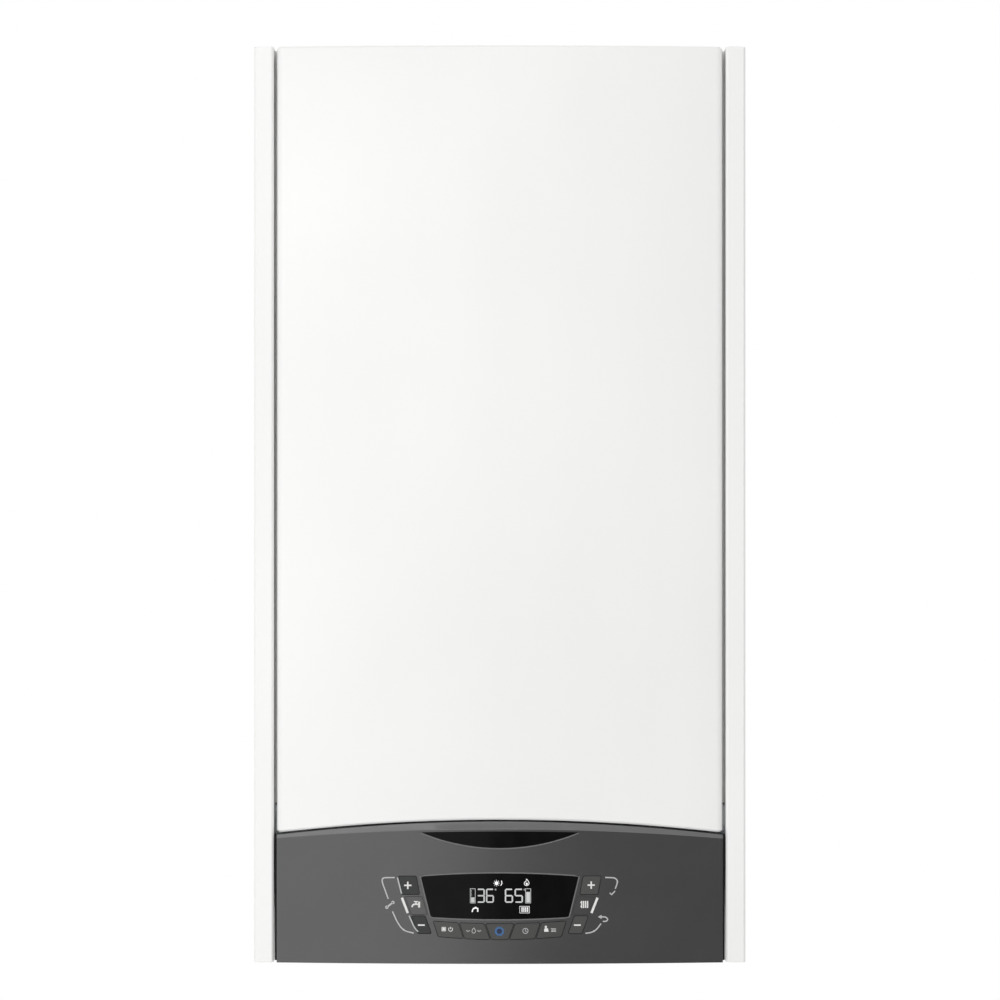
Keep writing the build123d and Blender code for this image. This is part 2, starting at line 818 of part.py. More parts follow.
def front_cover():
    low = ARCH_H + ARCH_GAP / 2
    outer = soften(arched_block(0, COVER_BACK, low, CASE_H), COVER_BACK, SOFT_EDGE)
    inner = arched_block(SHEET, COVER_BACK + 5, low + SHEET, CASE_H - SHEET)
    shell = outer - inner
    hook_y = -CASE_D + HOOK_SETBACK
    flange = slab(-COVER_HALF + 1, COVER_HALF - 1, COVER_BACK, hook_y, CASE_H - SHEET, CASE_H)
    hook = slab(HOOK_X - HOOK_W / 2, HOOK_X + HOOK_W / 2, hook_y - SHEET, hook_y,
                CASE_H - HOOK_DROP, CASE_H)
    level = ARCH_H - TAB_X ** 2 / (2 * ARCH_R) + SHEET
    tab = slab(TAB_X - TAB_W / 2, TAB_X + TAB_W / 2, COVER_BACK - SHEET, COVER_BACK,
               TAB_LOW_H, level)
    slot = slab(TAB_X - TAB_SLOT / 2, TAB_X + TAB_SLOT / 2, COVER_BACK - 3, COVER_BACK + 3,
                TAB_LOW_H - 1, SCREW_H + TAB_SLOT / 2)
    return shell + flange + both(hook) + both(tab - slot)


def cover_lining():
    field = slab(-LINING_HALF, LINING_HALF, -CASE_D, COVER_BACK, LINING_LOW_H, LINING_HIGH_H)
    layer = crowned_block(SHEET, COVER_BACK + 1) - crowned_block(SHEET + LINING_T, COVER_BACK + 2)
    return layer & field


# Flue

def flue_adapter():
    top = CASE_H - SHEET
    half = FLUE_FLANGE / 2
    body = slab(-half, half, FLUE_Y - half, FLUE_Y + half, top - FLUE_FLANGE_T, top)
    body += post(0, FLUE_Y, AIR_R + AIR_WALL, top - AIR_SOCKET_L, top)
    body -= clear_hole(0, FLUE_Y, AIR_R + FLUE_CLEARANCE, top - AIR_SOCKET_L - 1, top + 1)
    bore_r = FLUE_R + FLUE_CLEARANCE
    reach = AIR_R + AIR_WALL / 2
    stop = CASE_H - SOCKET_L
    body += slab(-reach, reach, FLUE_Y - WEB_T / 2, FLUE_Y + WEB_T / 2, stop, stop + WEB_TALL)
    body += post(0, FLUE_Y, bore_r + SOCKET_WALL, stop, top - 1)
    body -= shaft(0, FLUE_Y, bore_r, stop - 1, top)
    ring = PolarLocations(FLUE_BOLT_PCD / 2, FLUE_BOLTS, 45)
    drill = clear_hole(0, 0, FLUE_BOLT_R, top - FLUE_FLANGE_T - 1, top + 1)
    return body - Pos(0, FLUE_Y, 0) * ring * drill


def drum_top():
    # height of the drum straight below the flue
    return DRUM_H + math.sqrt(DRUM_R ** 2 - DRUM_X ** 2)


def flue_pipe():
    low = drum_top() + SPIGOT_RISE
    high = CASE_H - SOCKET_L
    pipe = post(0, FLUE_Y, FLUE_R, low, high)
    pipe += post(0, FLUE_Y, FLUE_R + SOCKET_WALL, high - PIPE_RING_T, high)
    return pipe - post(0, FLUE_Y, FLUE_R - FLUE_WALL, low - 1, high + 1)


# Expansion vessel

def cut_plate(inset, front, back):
    # square plate with its corners cut off
    tall = VESSEL_HIGH_H - VESSEL_LOW_H - 2 * inset
    middle = Pos(0, up((VESSEL_LOW_H + VESSEL_HIGH_H) / 2))
    face = middle * Rectangle(VESSEL_W - 2 * inset, tall)
    return prism(chamfer(face.vertices(), VESSEL_CORNER), front, back)


def dished(inset, front, back):
    # two shallow pressed shells, edge to edge
    body = cut_plate(inset, front, back)
    rims = [e for e in body.edges() if abs(e.center().Y - front) < 0.01]
    rims += [e for e in body.edges() if abs(e.center().Y - back) < 0.01]
    return chamfer(rims, VESSEL_BEVEL)


def expansion_vessel():
    front = VESSEL_BACK - VESSEL_DEPTH
    middle = VESSEL_BACK - VESSEL_DEPTH / 2
    outer = dished(0, front, VESSEL_BACK)
    inner = dished(VESSEL_T, front + VESSEL_T, VESSEL_BACK - VESSEL_T)
    crimp = cut_plate(-CRIMP_W, middle - CRIMP_T / 2, middle + CRIMP_T / 2)
    spud = post(SPUD_X, front + SPUD_INSET, HOSE_R + SPUD_WALL, VESSEL_LOW_H - SPUD_L,
                VESSEL_LOW_H + 2 * VESSEL_T)
    return outer + crimp + spud - inner


def vessel_hose():
    y = VESSEL_BACK - VESSEL_DEPTH + SPUD_INSET
    high = VESSEL_LOW_H - SPUD_L
    low = BLOCK_TOP_H
    points = [(SPUD_X, y, up(high)), (SPUD_X, y, up(high - HOSE_FALL)),
              (VESSEL_PORT_X, BLOCK_Y, up(low + HOSE_RISE)), (VESSEL_PORT_X, BLOCK_Y, up(low))]
    return tube_path(points, HOSE_BEND_R, HOSE_R)


# Heat exchanger, burner door and mounting plate

def mounting_plate():
    back = MOUNT_Y
    front = MOUNT_Y - MOUNT_T
    plate = slab(-INNER_HALF, INNER_HALF, front, back, MOUNT_LOW_H, MOUNT_HIGH_H)
    flange = slab(INNER_HALF - MOUNT_T, INNER_HALF, MOUNT_Y - MOUNT_FLANGE, back,
                  MOUNT_LOW_H, MOUNT_HIGH_H)
    plate += both(flange)
    x0 = FAN_X - MOUNT_WINDOW_W / 2
    window = slab(x0, x0 + MOUNT_WINDOW_W, front - 1, back + 1, DRUM_H - WINDOW_DROP,
                  DRUM_H + WINDOW_RISE)
    plate -= window
    valve_back = VALVE_Y + VALVE_D / 2
    low = VALVE_LOW_H + ARM_RISE
    arm = slab(VALVE_X - ARM_HALF, VALVE_X + ARM_HALF, valve_back, front, low, low + MOUNT_T)
    foot = slab(VALVE_X - ARM_HALF, VALVE_X + ARM_HALF, valve_back, valve_back + MOUNT_T,
                low, low + ARM_FOOT)
    return plate + arm + foot


def water_spigot(x):
    level = DRUM_H - WATER_DROP
    return post(x, BLOCK_Y, PIPE_COLLAR_R, level - WATER_STUB, level + PIPE_COLLAR_R)


def heat_exchanger():
    body = barrel(DRUM_X, DRUM_H, DRUM_R, DRUM_FRONT, DRUM_BACK)
    spigot_top = drum_top() + SPIGOT_RISE
    low = DRUM_H - DRUM_R
    body += post(0, FLUE_Y, FLUE_R + SPIGOT_WALL, spigot_top - SPIGOT_L, spigot_top)
    body += post(DRUM_X, DRAIN_Y, DRAIN_R, low - DRAIN_STUB, low + DRAIN_STUB / 2)
    body += water_spigot(FLOW_X) + water_spigot(RETURN_X)
    body -= barrel(DRUM_X, DRUM_H, DRUM_R - DRUM_T, DRUM_FRONT + DRUM_T, DRUM_BACK - DRUM_T)
    body -= post(0, FLUE_Y, FLUE_R - FLUE_WALL, DRUM_H, spigot_top + 1)
    return body - post(DRUM_X, DRAIN_Y, DRAIN_R - DRAIN_WALL, low - DRAIN_STUB - 1, low + 2 * DRAIN_STUB)


def duct_face(shrink):
    # mixing duct: a round mouth over the burner that narrows to the outlet of the fan
    r = DUCT_R - shrink
    low = FAN_LOW_H + shrink
    high = FAN_HIGH_H - shrink
    mouth = Pos(DRUM_X, up(DRUM_H)) * disc(r)
    throat = outline([(DRUM_X - r * 0.6, up(DRUM_H - r * 0.8)), (DRUM_X + DUCT_LOW_X, up(low)),
                      (DUCT_END_X, up(low)), (DUCT_END_X, up(high)),
                      (DRUM_X + DUCT_HIGH_X, up(high)),
                      (DRUM_X + r * 0.5, up(DRUM_H + r * 0.866))])
    return mouth + throat


def burner_door():
    plate = barrel(DRUM_X, DRUM_H, DOOR_R, DOOR_FRONT, DOOR_BACK)
    duct = prism(duct_face(0), DUCT_FRONT, DOOR_FRONT)
    hollow = prism(duct_face(DUCT_WALL), DUCT_FRONT + DUCT_WALL, DOOR_FRONT)
    mouth = slab(DUCT_END_X - 10, DUCT_END_X + 1, DUCT_FRONT + DUCT_WALL, DOOR_FRONT - 1,
                 FAN_LOW_H + DUCT_WALL, FAN_HIGH_H - DUCT_WALL)
    body = plate + duct - hollow - mouth
    for turn in DOOR_RIB_TURNS:
        rib = Pos(0, 0, DOOR_RIB_R) * Box(DOOR_RIB_T, DOOR_RIB_DEPTH, DOOR_RIB_L)
        body += Pos(DRUM_X, DOOR_FRONT, up(DRUM_H)) * Rot(0, -turn, 0) * rib
    return body


def door_nuts():
    nut = extrude(RegularPolygon(DOOR_NUT_R, 6), DOOR_NUT_T)
    ring = PolarLocations(DOOR_NUT_PCD / 2, DOOR_NUTS, DOOR_NUT_TURN)
    place = Pos(DRUM_X, DOOR_FRONT, up(DRUM_H)) * Rot(90, 0, 0)
    return Compound(place * ring * nut)


def electrodes():
    x = DRUM_X + ELECTRODE_X
    last = x + ELECTRODE_PITCH
    h = DRUM_H + ELECTRODE_RISE
    half = ELECTRODE_PITCH / 2
    group = slab(x - ELECTRODE_EDGE, last + ELECTRODE_EDGE, DOOR_FRONT - ELECTRODE_PLATE_T,
                 DOOR_FRONT, h - half, h + half)
    group += barrel(x, h, ELECTRODE_R, DOOR_FRONT - ELECTRODE_L, DOOR_FRONT)
    return group + barrel(last, h, ELECTRODE_R, DOOR_FRONT - ELECTRODE_L, DOOR_FRONT)


# Fan, venturi and silencer

def volute_face(shrink):
    face = Pos(FAN_X, FAN_Y) * disc(FAN_R - shrink)
    front = FAN_Y - FAN_R + shrink
    back = FAN_Y - FAN_R + FAN_OUTLET_W - shrink
    face += outline([(FAN_X, front), (DUCT_END_X, front), (DUCT_END_X, back), (FAN_X, back)])
    return face


def fan_housing():
    tall = FAN_HIGH_H - FAN_LOW_H
    body = extrude(Pos(0, 0, up(FAN_LOW_H)) * volute_face(0), tall)
    inner = extrude(Pos(0, 0, up(FAN_LOW_H + FAN_WALL)) * volute_face(FAN_WALL),
                    tall - 2 * FAN_WALL)
    body -= inner
    body -= slab(DUCT_END_X - 1, DUCT_END_X + 1, FAN_Y - FAN_R + FAN_WALL,
                 FAN_Y - FAN_R + FAN_OUTLET_W - FAN_WALL, FAN_LOW_H + FAN_WALL,
                 FAN_HIGH_H - FAN_WALL)
    body -= post(FAN_X, FAN_Y, FAN_INLET_R, FAN_HIGH_H - 5, FAN_HIGH_H + 1)
    body -= clear_hole(FAN_X, FAN_Y, SHAFT_R + REST_GAP, FAN_LOW_H - 1, FAN_LOW_H + 5)
    ear = post(FAN_X, FAN_Y + FAN_R + FAN_EAR_R - 1, FAN_EAR_R, FAN_LOW_H, FAN_LOW_H + FAN_EAR_T)
    return body + ear


def fan_impeller():
    low = FAN_LOW_H + FAN_WALL + IMPELLER_GAP
    high = FAN_HIGH_H - FAN_WALL - IMPELLER_GAP
    body = post(FAN_X, FAN_Y, IMPELLER_R, low, low + IMPELLER_PLATE)
    body += post(FAN_X, FAN_Y, 2 * SHAFT_R, low, low + IMPELLER_HUB_L)
    length = IMPELLER_R - FAN_INLET_R - BLADE_MARGIN - 0.5
    out = Pos(FAN_INLET_R + BLADE_MARGIN + length / 2, 0, 0)
    blade = out * Rot(0, 0, BLADE_TURN) * Box(length, BLADE_T, high - low)
    ring = PolarLocations(0, IMPELLER_BLADES)
    body += Pos(FAN_X, FAN_Y, up((low + high) / 2)) * ring * blade
    return body + shaft(FAN_X, FAN_Y, SHAFT_R, FAN_LOW_H - SHAFT_L, low)


def fan_motor():
    low = FAN_LOW_H - MOTOR_L
    body = post(FAN_X, FAN_Y, MOTOR_R, low, FAN_LOW_H)
    face = FAN_Y - MOTOR_R
    body += slab(FAN_X - PLUG_HALF, FAN_X + PLUG_HALF, face - PLUG_OUT, face + PLUG_OUT / 2,
                 low + PLUG_RISE, low + PLUG_RISE + PLUG_TALL)
    well = clear_hole(FAN_X, FAN_Y, SHAFT_R + RUNNING_FIT, FAN_LOW_H - SHAFT_L - 2, FAN_LOW_H + 1)
    return body - well


def venturi():
    high = FAN_HIGH_H + VENTURI_L
    body = post(FAN_X, FAN_Y, VENTURI_R, FAN_HIGH_H, high)
    foot = VENTURI_R + VENTURI_FOOT_EDGE
    body += slab(FAN_X - foot, FAN_X + foot, FAN_Y - foot, FAN_Y + foot,
                 FAN_HIGH_H, FAN_HIGH_H + VENTURI_FOOT_T)
    low = high - PORT_DROP
    body += slab(FAN_X + VENTURI_R / 2, FEED_X + PORT_HALF, FEED_Y - PORT_REACH, FEED_Y + PORT_HALF,
                 low, low + PORT_TALL)
    return body - post(FAN_X, FAN_Y, VENTURI_THROAT_R, FAN_HIGH_H - 1, high + 1)


def air_silencer():
    low = FAN_HIGH_H + VENTURI_L
    high = low + SILENCER_L
    x0 = FAN_X - SILENCER_W / 2 + SILENCER_OUT
    x1 = x0 + SILENCER_W
    y0 = FAN_Y - SILENCER_D / 2 + SILENCER_BACK
    y1 = y0 + SILENCER_D
    t = SILENCER_T
    body = chamfered_box(x0, x1, y0, y1, low, high, SILENCER_CORNER)
    body -= chamfered_box(x0 + t, x1 - t, y0 + t, y1 - t, low + t, high - t, SILENCER_CORNER)
    body -= post(FAN_X, FAN_Y, SILENCER_HOLE_R, low - 1, low + 2 * t)
    for row in range(SLOTS):
        middle = (y0 + y1) / 2 + (row - (SLOTS - 1) / 2) * SLOT_PITCH
        body -= slab(x0 + SLOT_SIDE, x1 - SLOT_SIDE, middle - SLOT_HALF, middle + SLOT_HALF,
                     high - 2 * t, high + 1)
    for row in range(FINS):
        h = low + FIN_PITCH * (row + 1)
        body += slab(x0 + FIN_INSET, x1 - FIN_INSET, y0 - FIN_PROUD, y0 + 1, h - FIN_HALF, h + FIN_HALF)
    return body


# Gas line

def gas_valve():
    x1 = VALVE_X + VALVE_W / 2
    y0 = VALVE_Y - VALVE_D / 2
    low = VALVE_LOW_H
    top = low + VALVE_L
    body = chamfered_box(VALVE_X - VALVE_W / 2, x1, y0, VALVE_Y + VALVE_D / 2, low, top,
                         VALVE_CORNER)
    body += slab(x1 - VALVE_CORNER, FEED_X + PORT_HALF, FEED_Y - PORT_HALF, FEED_Y + PORT_HALF,
                 low + OUTLET_RISE, top)
    for side in (-1, 1):
        body += post(VALVE_X + side * SOLENOID_X, VALVE_Y, SOLENOID_R, top, top + SOLENOID_L)
    cap_h = low + VALVE_CAP_RISE
    body += barrel(VALVE_X + VALVE_CAP_X, cap_h, VALVE_CAP_R, y0 - VALVE_CAP_L, y0)
    body += barrel(VALVE_X + VALVE_SCREW_X, cap_h, VALVE_SCREW_R, y0 - VALVE_SCREW_L, y0)
    return body + hexagon(VALVE_INLET_X, VALVE_Y, GAS_NUT_R, low - GAS_NUT_L, low)


def gas_pipe():
    points = [(0, TAIL_Y, up(FLOOR_H + SHEET)), (0, TAIL_Y, up(BLOCK_TOP_H + GAS_BEND_RISE)),
              (VALVE_INLET_X, VALVE_Y, up(VALVE_LOW_H - GAS_BEND_DROP)),
              (VALVE_INLET_X, VALVE_Y, up(VALVE_LOW_H - GAS_NUT_L))]
    return tube_path(points, GAS_BEND_R, GAS_R)


def gas_feed():
    low = VALVE_LOW_H + VALVE_L
    high = FAN_HIGH_H + VENTURI_L - PORT_DROP
    pipe = post(FEED_X, FEED_Y, FEED_R, low, high)
    pipe += hexagon(FEED_X, FEED_Y, FEED_NUT_R, low, low + FEED_NUT_L)
    return pipe + hexagon(FEED_X, FEED_Y, FEED_NUT_R, high - FEED_NUT_L, high)


# Hydraulic blocks and what they carry

def block_core():
    # one half of the hydraulics: an outer body, an inner body and an arm between them
    outer = 2 * TAIL_PITCH
    low = FLOOR_H + SHEET
    body = post(outer, BLOCK_Y, BODY_R, low, BLOCK_TOP_H)
    body += post(TAIL_PITCH, BLOCK_Y, INNER_BODY_R, low, PLATE_LOW_H + PLATE_TALL - INNER_DROP)
    body += slab(TAIL_PITCH, outer, BLOCK_Y - ARM_DEPTH_HALF, BLOCK_Y + ARM_DEPTH_HALF,
                 ARM_LOW_H, ARM_LOW_H + ARM_TALL)
    for x in (TAIL_PITCH, outer):
        body += slab(x - FOOT_HALF, x + FOOT_HALF, BLOCK_BACK, BLOCK_Y, low, low + FOOT_T)
    return body + slab(TAIL_PITCH - NECK_IN, TAIL_PITCH + NECK_OUT, BLOCK_BACK, BLOCK_Y,
                       PLATE_LOW_H + NECK_IN, PLATE_LOW_H + PLATE_TALL - NECK_IN)


def riser_socket(x, low):
    return slab(x - SOCKET_HALF, x + SOCKET_HALF, BLOCK_Y - SOCKET_HALF, BLOCK_Y + SOCKET_HALF,
                low, BLOCK_TOP_H)


def flow_block():
    x = -2 * TAIL_PITCH
    web = ARM_DEPTH_HALF - 1
    body = mirrored(block_core())
    body += post(x, DIVERTER_Y, BODY_R, ARM_LOW_H - DIVERTER_STROKE, BLOCK_TOP_H)
    body += slab(x - web, x + web, DIVERTER_Y, BLOCK_Y, ARM_LOW_H, BLOCK_TOP_H - NECK_IN)
    body += riser_socket(FLOW_X, ARM_LOW_H)
    body -= post(x, DIVERTER_Y, DIVERTER_BORE_R, ARM_LOW_H, BLOCK_TOP_H - GUIDE_L)
    guide_r = DIVERTER_ROD_R + RUNNING_FIT
    return body - clear_hole(x, DIVERTER_Y, guide_r, BLOCK_TOP_H - GUIDE_L - 2, BLOCK_TOP_H + 1)


def return_block():
    low = FLOOR_H + SHEET
    port_low = BLOCK_TOP_H - PORT_DEPTH
    body = block_core()
    body += barrel(PUMP_X, PUMP_H, PUMP_VOLUTE_R, PUMP_FACE, PUMP_BACK)
    body += slab(PUMP_X - PUMP_NECK_HALF, PUMP_X + PUMP_NECK_HALF, PUMP_BACK, BLOCK_Y,
                 PUMP_H - PUMP_NECK_HALF, PUMP_H + PUMP_NECK_HALF)
    body += slab(VENT_X - VENT_R + 1, PUMP_X, BLOCK_Y - ARM_DEPTH_HALF, BLOCK_Y + ARM_DEPTH_HALF,
                 port_low, BLOCK_TOP_H)
    body += riser_socket(RETURN_X, ARM_LOW_H + ARM_TALL)
    body += slab(RETURN_X, VENT_X, BLOCK_Y - SOCKET_HALF, BLOCK_Y + SOCKET_HALF,
                 ARM_LOW_H + ARM_TALL, BLOCK_TOP_H)
    body += slab(FILL_X - SOCKET_HALF, FILL_X + SOCKET_HALF, BLOCK_Y, FILL_Y + SOCKET_HALF,
                 low, PLATE_LOW_H - 1)
    body += slab(SAFETY_X - SAFETY_WEB, SAFETY_X + SAFETY_WEB, SAFETY_Y, BLOCK_Y,
                 SAFETY_LOW_H + 6, SAFETY_LOW_H + PORT_DEPTH)
    body += slab(VESSEL_PORT_X - VESSEL_PORT_HALF, VESSEL_PORT_X + VESSEL_PORT_HALF,
                 BLOCK_Y - VESSEL_PORT_HALF, BLOCK_Y + VESSEL_PORT_HALF, port_low, BLOCK_TOP_H)
    body -= post(SAFETY_X, SAFETY_Y, SAFETY_R, SAFETY_LOW_H, SAFETY_TOP_H)
    cavity_r = PUMP_IMPELLER_R + PUMP_CAVITY_GAP
    body -= barrel(PUMP_X, PUMP_H, cavity_r, PUMP_FACE - 1, PUMP_FACE + PUMP_CAVITY_L)
    return body - clear_hole(FILL_X, FILL_Y, SHAFT_R + RUNNING_FIT, FLOOR_H, low + FILL_WELL)


def pump_motor():
    front = PUMP_FACE - PUMP_MOTOR_L
    box_front = front - PUMP_BOX_OUT
    body = barrel(PUMP_X, PUMP_H, PUMP_VOLUTE_R, PUMP_FACE - PUMP_RING_T, PUMP_FACE)
    body += barrel(PUMP_X, PUMP_H, PUMP_MOTOR_R, front, PUMP_FACE - PUMP_RING_T + 1)
    body += slab(PUMP_X - PUMP_BOX_HALF_W, PUMP_X + PUMP_BOX_HALF_W, box_front, front + 4,
                 PUMP_H - PUMP_BOX_HALF_T, PUMP_H + PUMP_BOX_HALF_T)
    body += barrel(PUMP_X, PUMP_H, PUMP_SCREW_R, box_front - 2, box_front)
    well = PUMP_FACE - PUMP_SHAFT_L - 2
    return body - axle(PUMP_X, PUMP_H, SHAFT_R + RUNNING_FIT, well, PUMP_FACE + 1)


def pump_impeller():
    middle = PUMP_FACE + PUMP_CAVITY_L / 2
    front = middle - PUMP_IMPELLER_T / 2
    body = barrel(PUMP_X, PUMP_H, PUMP_IMPELLER_R, front, front + IMPELLER_PLATE)
    body += barrel(PUMP_X, PUMP_H, PUMP_HUB_R, front, middle + PUMP_IMPELLER_T / 2)
    out = Pos((PUMP_HUB_R + PUMP_IMPELLER_R) / 2 - 1, 0, 0)
    length = PUMP_IMPELLER_R - PUMP_HUB_R
    vane = out * Rot(0, 0, PUMP_VANE_TURN) * Box(length, PUMP_VANE_T, PUMP_IMPELLER_T - 1)
    ring = PolarLocations(0, PUMP_VANES)
    place = Pos(PUMP_X, middle, up(PUMP_H)) * Rot(90, 0, 0)
    body += place * ring * vane
    return body + axle(PUMP_X, PUMP_H, SHAFT_R, PUMP_FACE - PUMP_SHAFT_L, front)


def plate_exchanger():
    half = PLATE_W / 2
    back = BLOCK_BACK + PLATE_DEPTH
    body = slab(-half, half, BLOCK_BACK, back, PLATE_LOW_H, PLATE_LOW_H + PLATE_TALL)
    uprights = [e for e in body.edges() if e.bounding_box().size.Y > PLATE_DEPTH - 1]
    body = chamfer(uprights, PLATE_CORNER)
    pitch = PLATE_DEPTH / (PLATE_RIDGES + 1)
    core = slab(-half + PLATE_RIDGE_DEPTH, half - PLATE_RIDGE_DEPTH, BLOCK_BACK - 1, back + 1,
                PLATE_LOW_H + PLATE_RIDGE_DEPTH, PLATE_LOW_H + PLATE_TALL - PLATE_RIDGE_DEPTH)
    uprights = [e for e in core.edges() if e.bounding_box().size.Y > PLATE_DEPTH - 1]
    core = chamfer(uprights, PLATE_CORNER)
    for ridge in range(PLATE_RIDGES):
        y = BLOCK_BACK + pitch * (ridge + 1)
        groove = slab(-half - 1, half + 1, y - 1.2, y + 1.2, PLATE_LOW_H - 1,
                      PLATE_LOW_H + PLATE_TALL + 1)
        body -= groove - core
    t = PLATE_WALL
    inner = slab(-half + t, half - t, BLOCK_BACK + t, back - t, PLATE_LOW_H + t,
                 PLATE_LOW_H + PLATE_TALL - t)
    uprights = [e for e in inner.edges() if e.bounding_box().size.Y > PLATE_DEPTH - 3 * t]
    return body - chamfer(uprights, PLATE_CORNER)


def diverter_motor():
    x = -2 * TAIL_PITCH
    low = BLOCK_TOP_H
    foot = low + ACTUATOR_FOOT_L
    back = DIVERTER_Y + ACTUATOR_BACK
    front = back - ACTUATOR_D
    body = chamfered_box(x - ACTUATOR_W / 2, x + ACTUATOR_W / 2, front, back, foot,
                         low + ACTUATOR_L, ACTUATOR_CORNER)
    body += post(x, DIVERTER_Y, ACTUATOR_FOOT_R, low, foot)
    body += slab(x - CONNECTOR_HALF, x + CONNECTOR_HALF, front - CONNECTOR_OUT, front + 1,
                 low + CONNECTOR_TALL, low + 2 * CONNECTOR_TALL)
    well_top = low + SPINDLE_RISE + DIVERTER_STROKE + ACTUATOR_FOOT_L
    return body - clear_hole(x, DIVERTER_Y, DIVERTER_ROD_R + REST_GAP, low - 1, well_top)


def diverter_spindle():
    x = -2 * TAIL_PITCH
    low = ARM_LOW_H + SPINDLE_RISE
    neck = BLOCK_TOP_H - GUIDE_L - 4 - DIVERTER_STROKE
    body = shaft(x, DIVERTER_Y, DIVERTER_ROD_R, neck, BLOCK_TOP_H + SPINDLE_RISE)
    body += post(x, DIVERTER_Y, DIVERTER_ROD_R, low, neck)
    for h in (low + DIVERTER_STROKE, low + DIVERTER_STROKE + DISC_PITCH):
        body += post(x, DIVERTER_Y, DIVERTER_DISC_R, h, h + DISC_T)
    return body


def riser(x):
    # straight pipe with a union nut at each end
    high = DRUM_H - WATER_DROP - WATER_STUB
    pipe = post(x, BLOCK_Y, PIPE_R, BLOCK_TOP_H, high)
    pipe += hexagon(x, BLOCK_Y, PIPE_NUT_R, BLOCK_TOP_H, BLOCK_TOP_H + PIPE_NUT_L)
    return pipe + hexagon(x, BLOCK_Y, PIPE_NUT_R, high - PIPE_NUT_L, high)


def flow_pipe():
    return riser(FLOW_X)


def return_pipe():
    return riser(RETURN_X)


def safety_valve():
    body = post(SAFETY_X, SAFETY_Y, SAFETY_R, SAFETY_LOW_H, SAFETY_TOP_H)
    body += shaft(SAFETY_X, SAFETY_Y, DISCHARGE_R, TAIL_LOW_H, TAIL_NECK_H)
    body += post(SAFETY_X, SAFETY_Y, DISCHARGE_R, TAIL_NECK_H, SAFETY_LOW_H)
    nut = SAFETY_TOP_H - 1.5 * SAFETY_NUT_L
    body += hexagon(SAFETY_X, SAFETY_Y, SAFETY_NUT_R, nut, nut + SAFETY_NUT_L)
    bore_r = DISCHARGE_R - DISCHARGE_WALL
    return body - post(SAFETY_X, SAFETY_Y, bore_r, TAIL_LOW_H - 1, SAFETY_LOW_H + SAFETY_NUT_L)


def safety_knob():
    low = SAFETY_TOP_H + REST_GAP
    return knob(SAFETY_X, SAFETY_Y, SAFETY_KNOB_R, low, low + SAFETY_KNOB_L)


def filling_knob():
    high = FLOOR_H - FILL_KNOB_DROP
    body = knob(FILL_X, FILL_Y, FILL_KNOB_R, high - FILL_KNOB_L, high)
    return body + shaft(FILL_X, FILL_Y, SHAFT_R, high, FLOOR_H + SHEET + FILL_STEM_L)


def air_vent():
    high = BLOCK_TOP_H + VENT_L
    return post(VENT_X, BLOCK_Y, VENT_R, BLOCK_TOP_H, high)


def air_vent_cap():
    low = BLOCK_TOP_H + VENT_L + REST_GAP
    return knob(VENT_X, BLOCK_Y, VENT_CAP_R, low, low + VENT_CAP_L)


def pipe_tails():
    group = None
    for place in range(-2, 3):
        radius = tail_radius(place)
        x = place * TAIL_PITCH
        piece = shaft(x, TAIL_Y, radius, TAIL_LOW_H, TAIL_NECK_H)
        piece += post(x, TAIL_Y, radius - TAIL_NECK_CUT, TAIL_NECK_H, FLOOR_H + SHEET)
        piece -= post(x, TAIL_Y, radius - TAIL_WALL, TAIL_LOW_H - 1, TAIL_LOW_H + 20)
        group = piece if group is None else group + piece
    return group


def condensate_trap():
    body = post(DRUM_X, DRAIN_Y, TRAP_R, TRAP_LOW_H, TRAP_HIGH_H)
    body += post(DRUM_X, DRAIN_Y, TRAP_R + TRAP_CAP_EDGE, TRAP_HIGH_H - TRAP_CAP_L, TRAP_HIGH_H)
    body += shaft(DRUM_X, DRAIN_Y, TRAP_DRAIN_R, TAIL_LOW_H, TAIL_NECK_H)
    body += post(DRUM_X, DRAIN_Y, TRAP_DRAIN_R, TAIL_NECK_H, TRAP_LOW_H)
    return body - post(DRUM_X, DRAIN_Y, TRAP_DRAIN_R - TRAP_T, TAIL_LOW_H - 1,
                       TRAP_LOW_H + TRAP_WELL)


def condensate_hose():
    low = TRAP_HIGH_H
    high = DRUM_H - DRUM_R - DRAIN_STUB
    body = post(DRUM_X, DRAIN_Y, DRAIN_R, low, high)
    for h in (low, high - CUFF_L):
        body += hexagon(DRUM_X, DRAIN_Y, DRAIN_R + CUFF_T, h, h + CUFF_L)
    return body - post(DRUM_X, DRAIN_Y, DRAIN_R - DRAIN_WALL, low - 1, high + 1)


def sensors():
    group = []
    for x, rise in ((FLOW_X, FLOW_SENSOR_RISE), (RETURN_X, RETURN_SENSOR_RISE)):
        low = BLOCK_TOP_H + rise
        high = low + SENSOR_TALL
        clip = slab(x - CLIP_HALF, x + CLIP_HALF, BLOCK_Y - CLIP_HALF, BLOCK_Y + CLIP_HALF / 2,
                    low, high)
        clip -= post(x, BLOCK_Y, PIPE_R, low - 1, high + 1)
        clip += slab(x - CLIP_PLUG_HALF, x + CLIP_PLUG_HALF, BLOCK_Y - 2 * CLIP_HALF,
                     BLOCK_Y - CLIP_HALF, low, high)
        group.append(clip)
    low = PLATE_LOW_H + PLATE_TALL - NECK_IN
    pressure = slab(-TAIL_PITCH - PRESSURE_W, -TAIL_PITCH, BLOCK_Y + 2, BLOCK_BACK - 2,
                    low, low + PRESSURE_TALL)
    return Compound(group + [pressure])


# Control panel

def window_face():
    face = lens(WINDOW_TOP_HALF, WINDOW_TOP_H, WINDOW_TOP_RISE,
                WINDOW_LOW_HALF, WINDOW_LOW_H, -WINDOW_LOW_SAG)
    return chamfer(face.vertices(), WINDOW_CORNER)


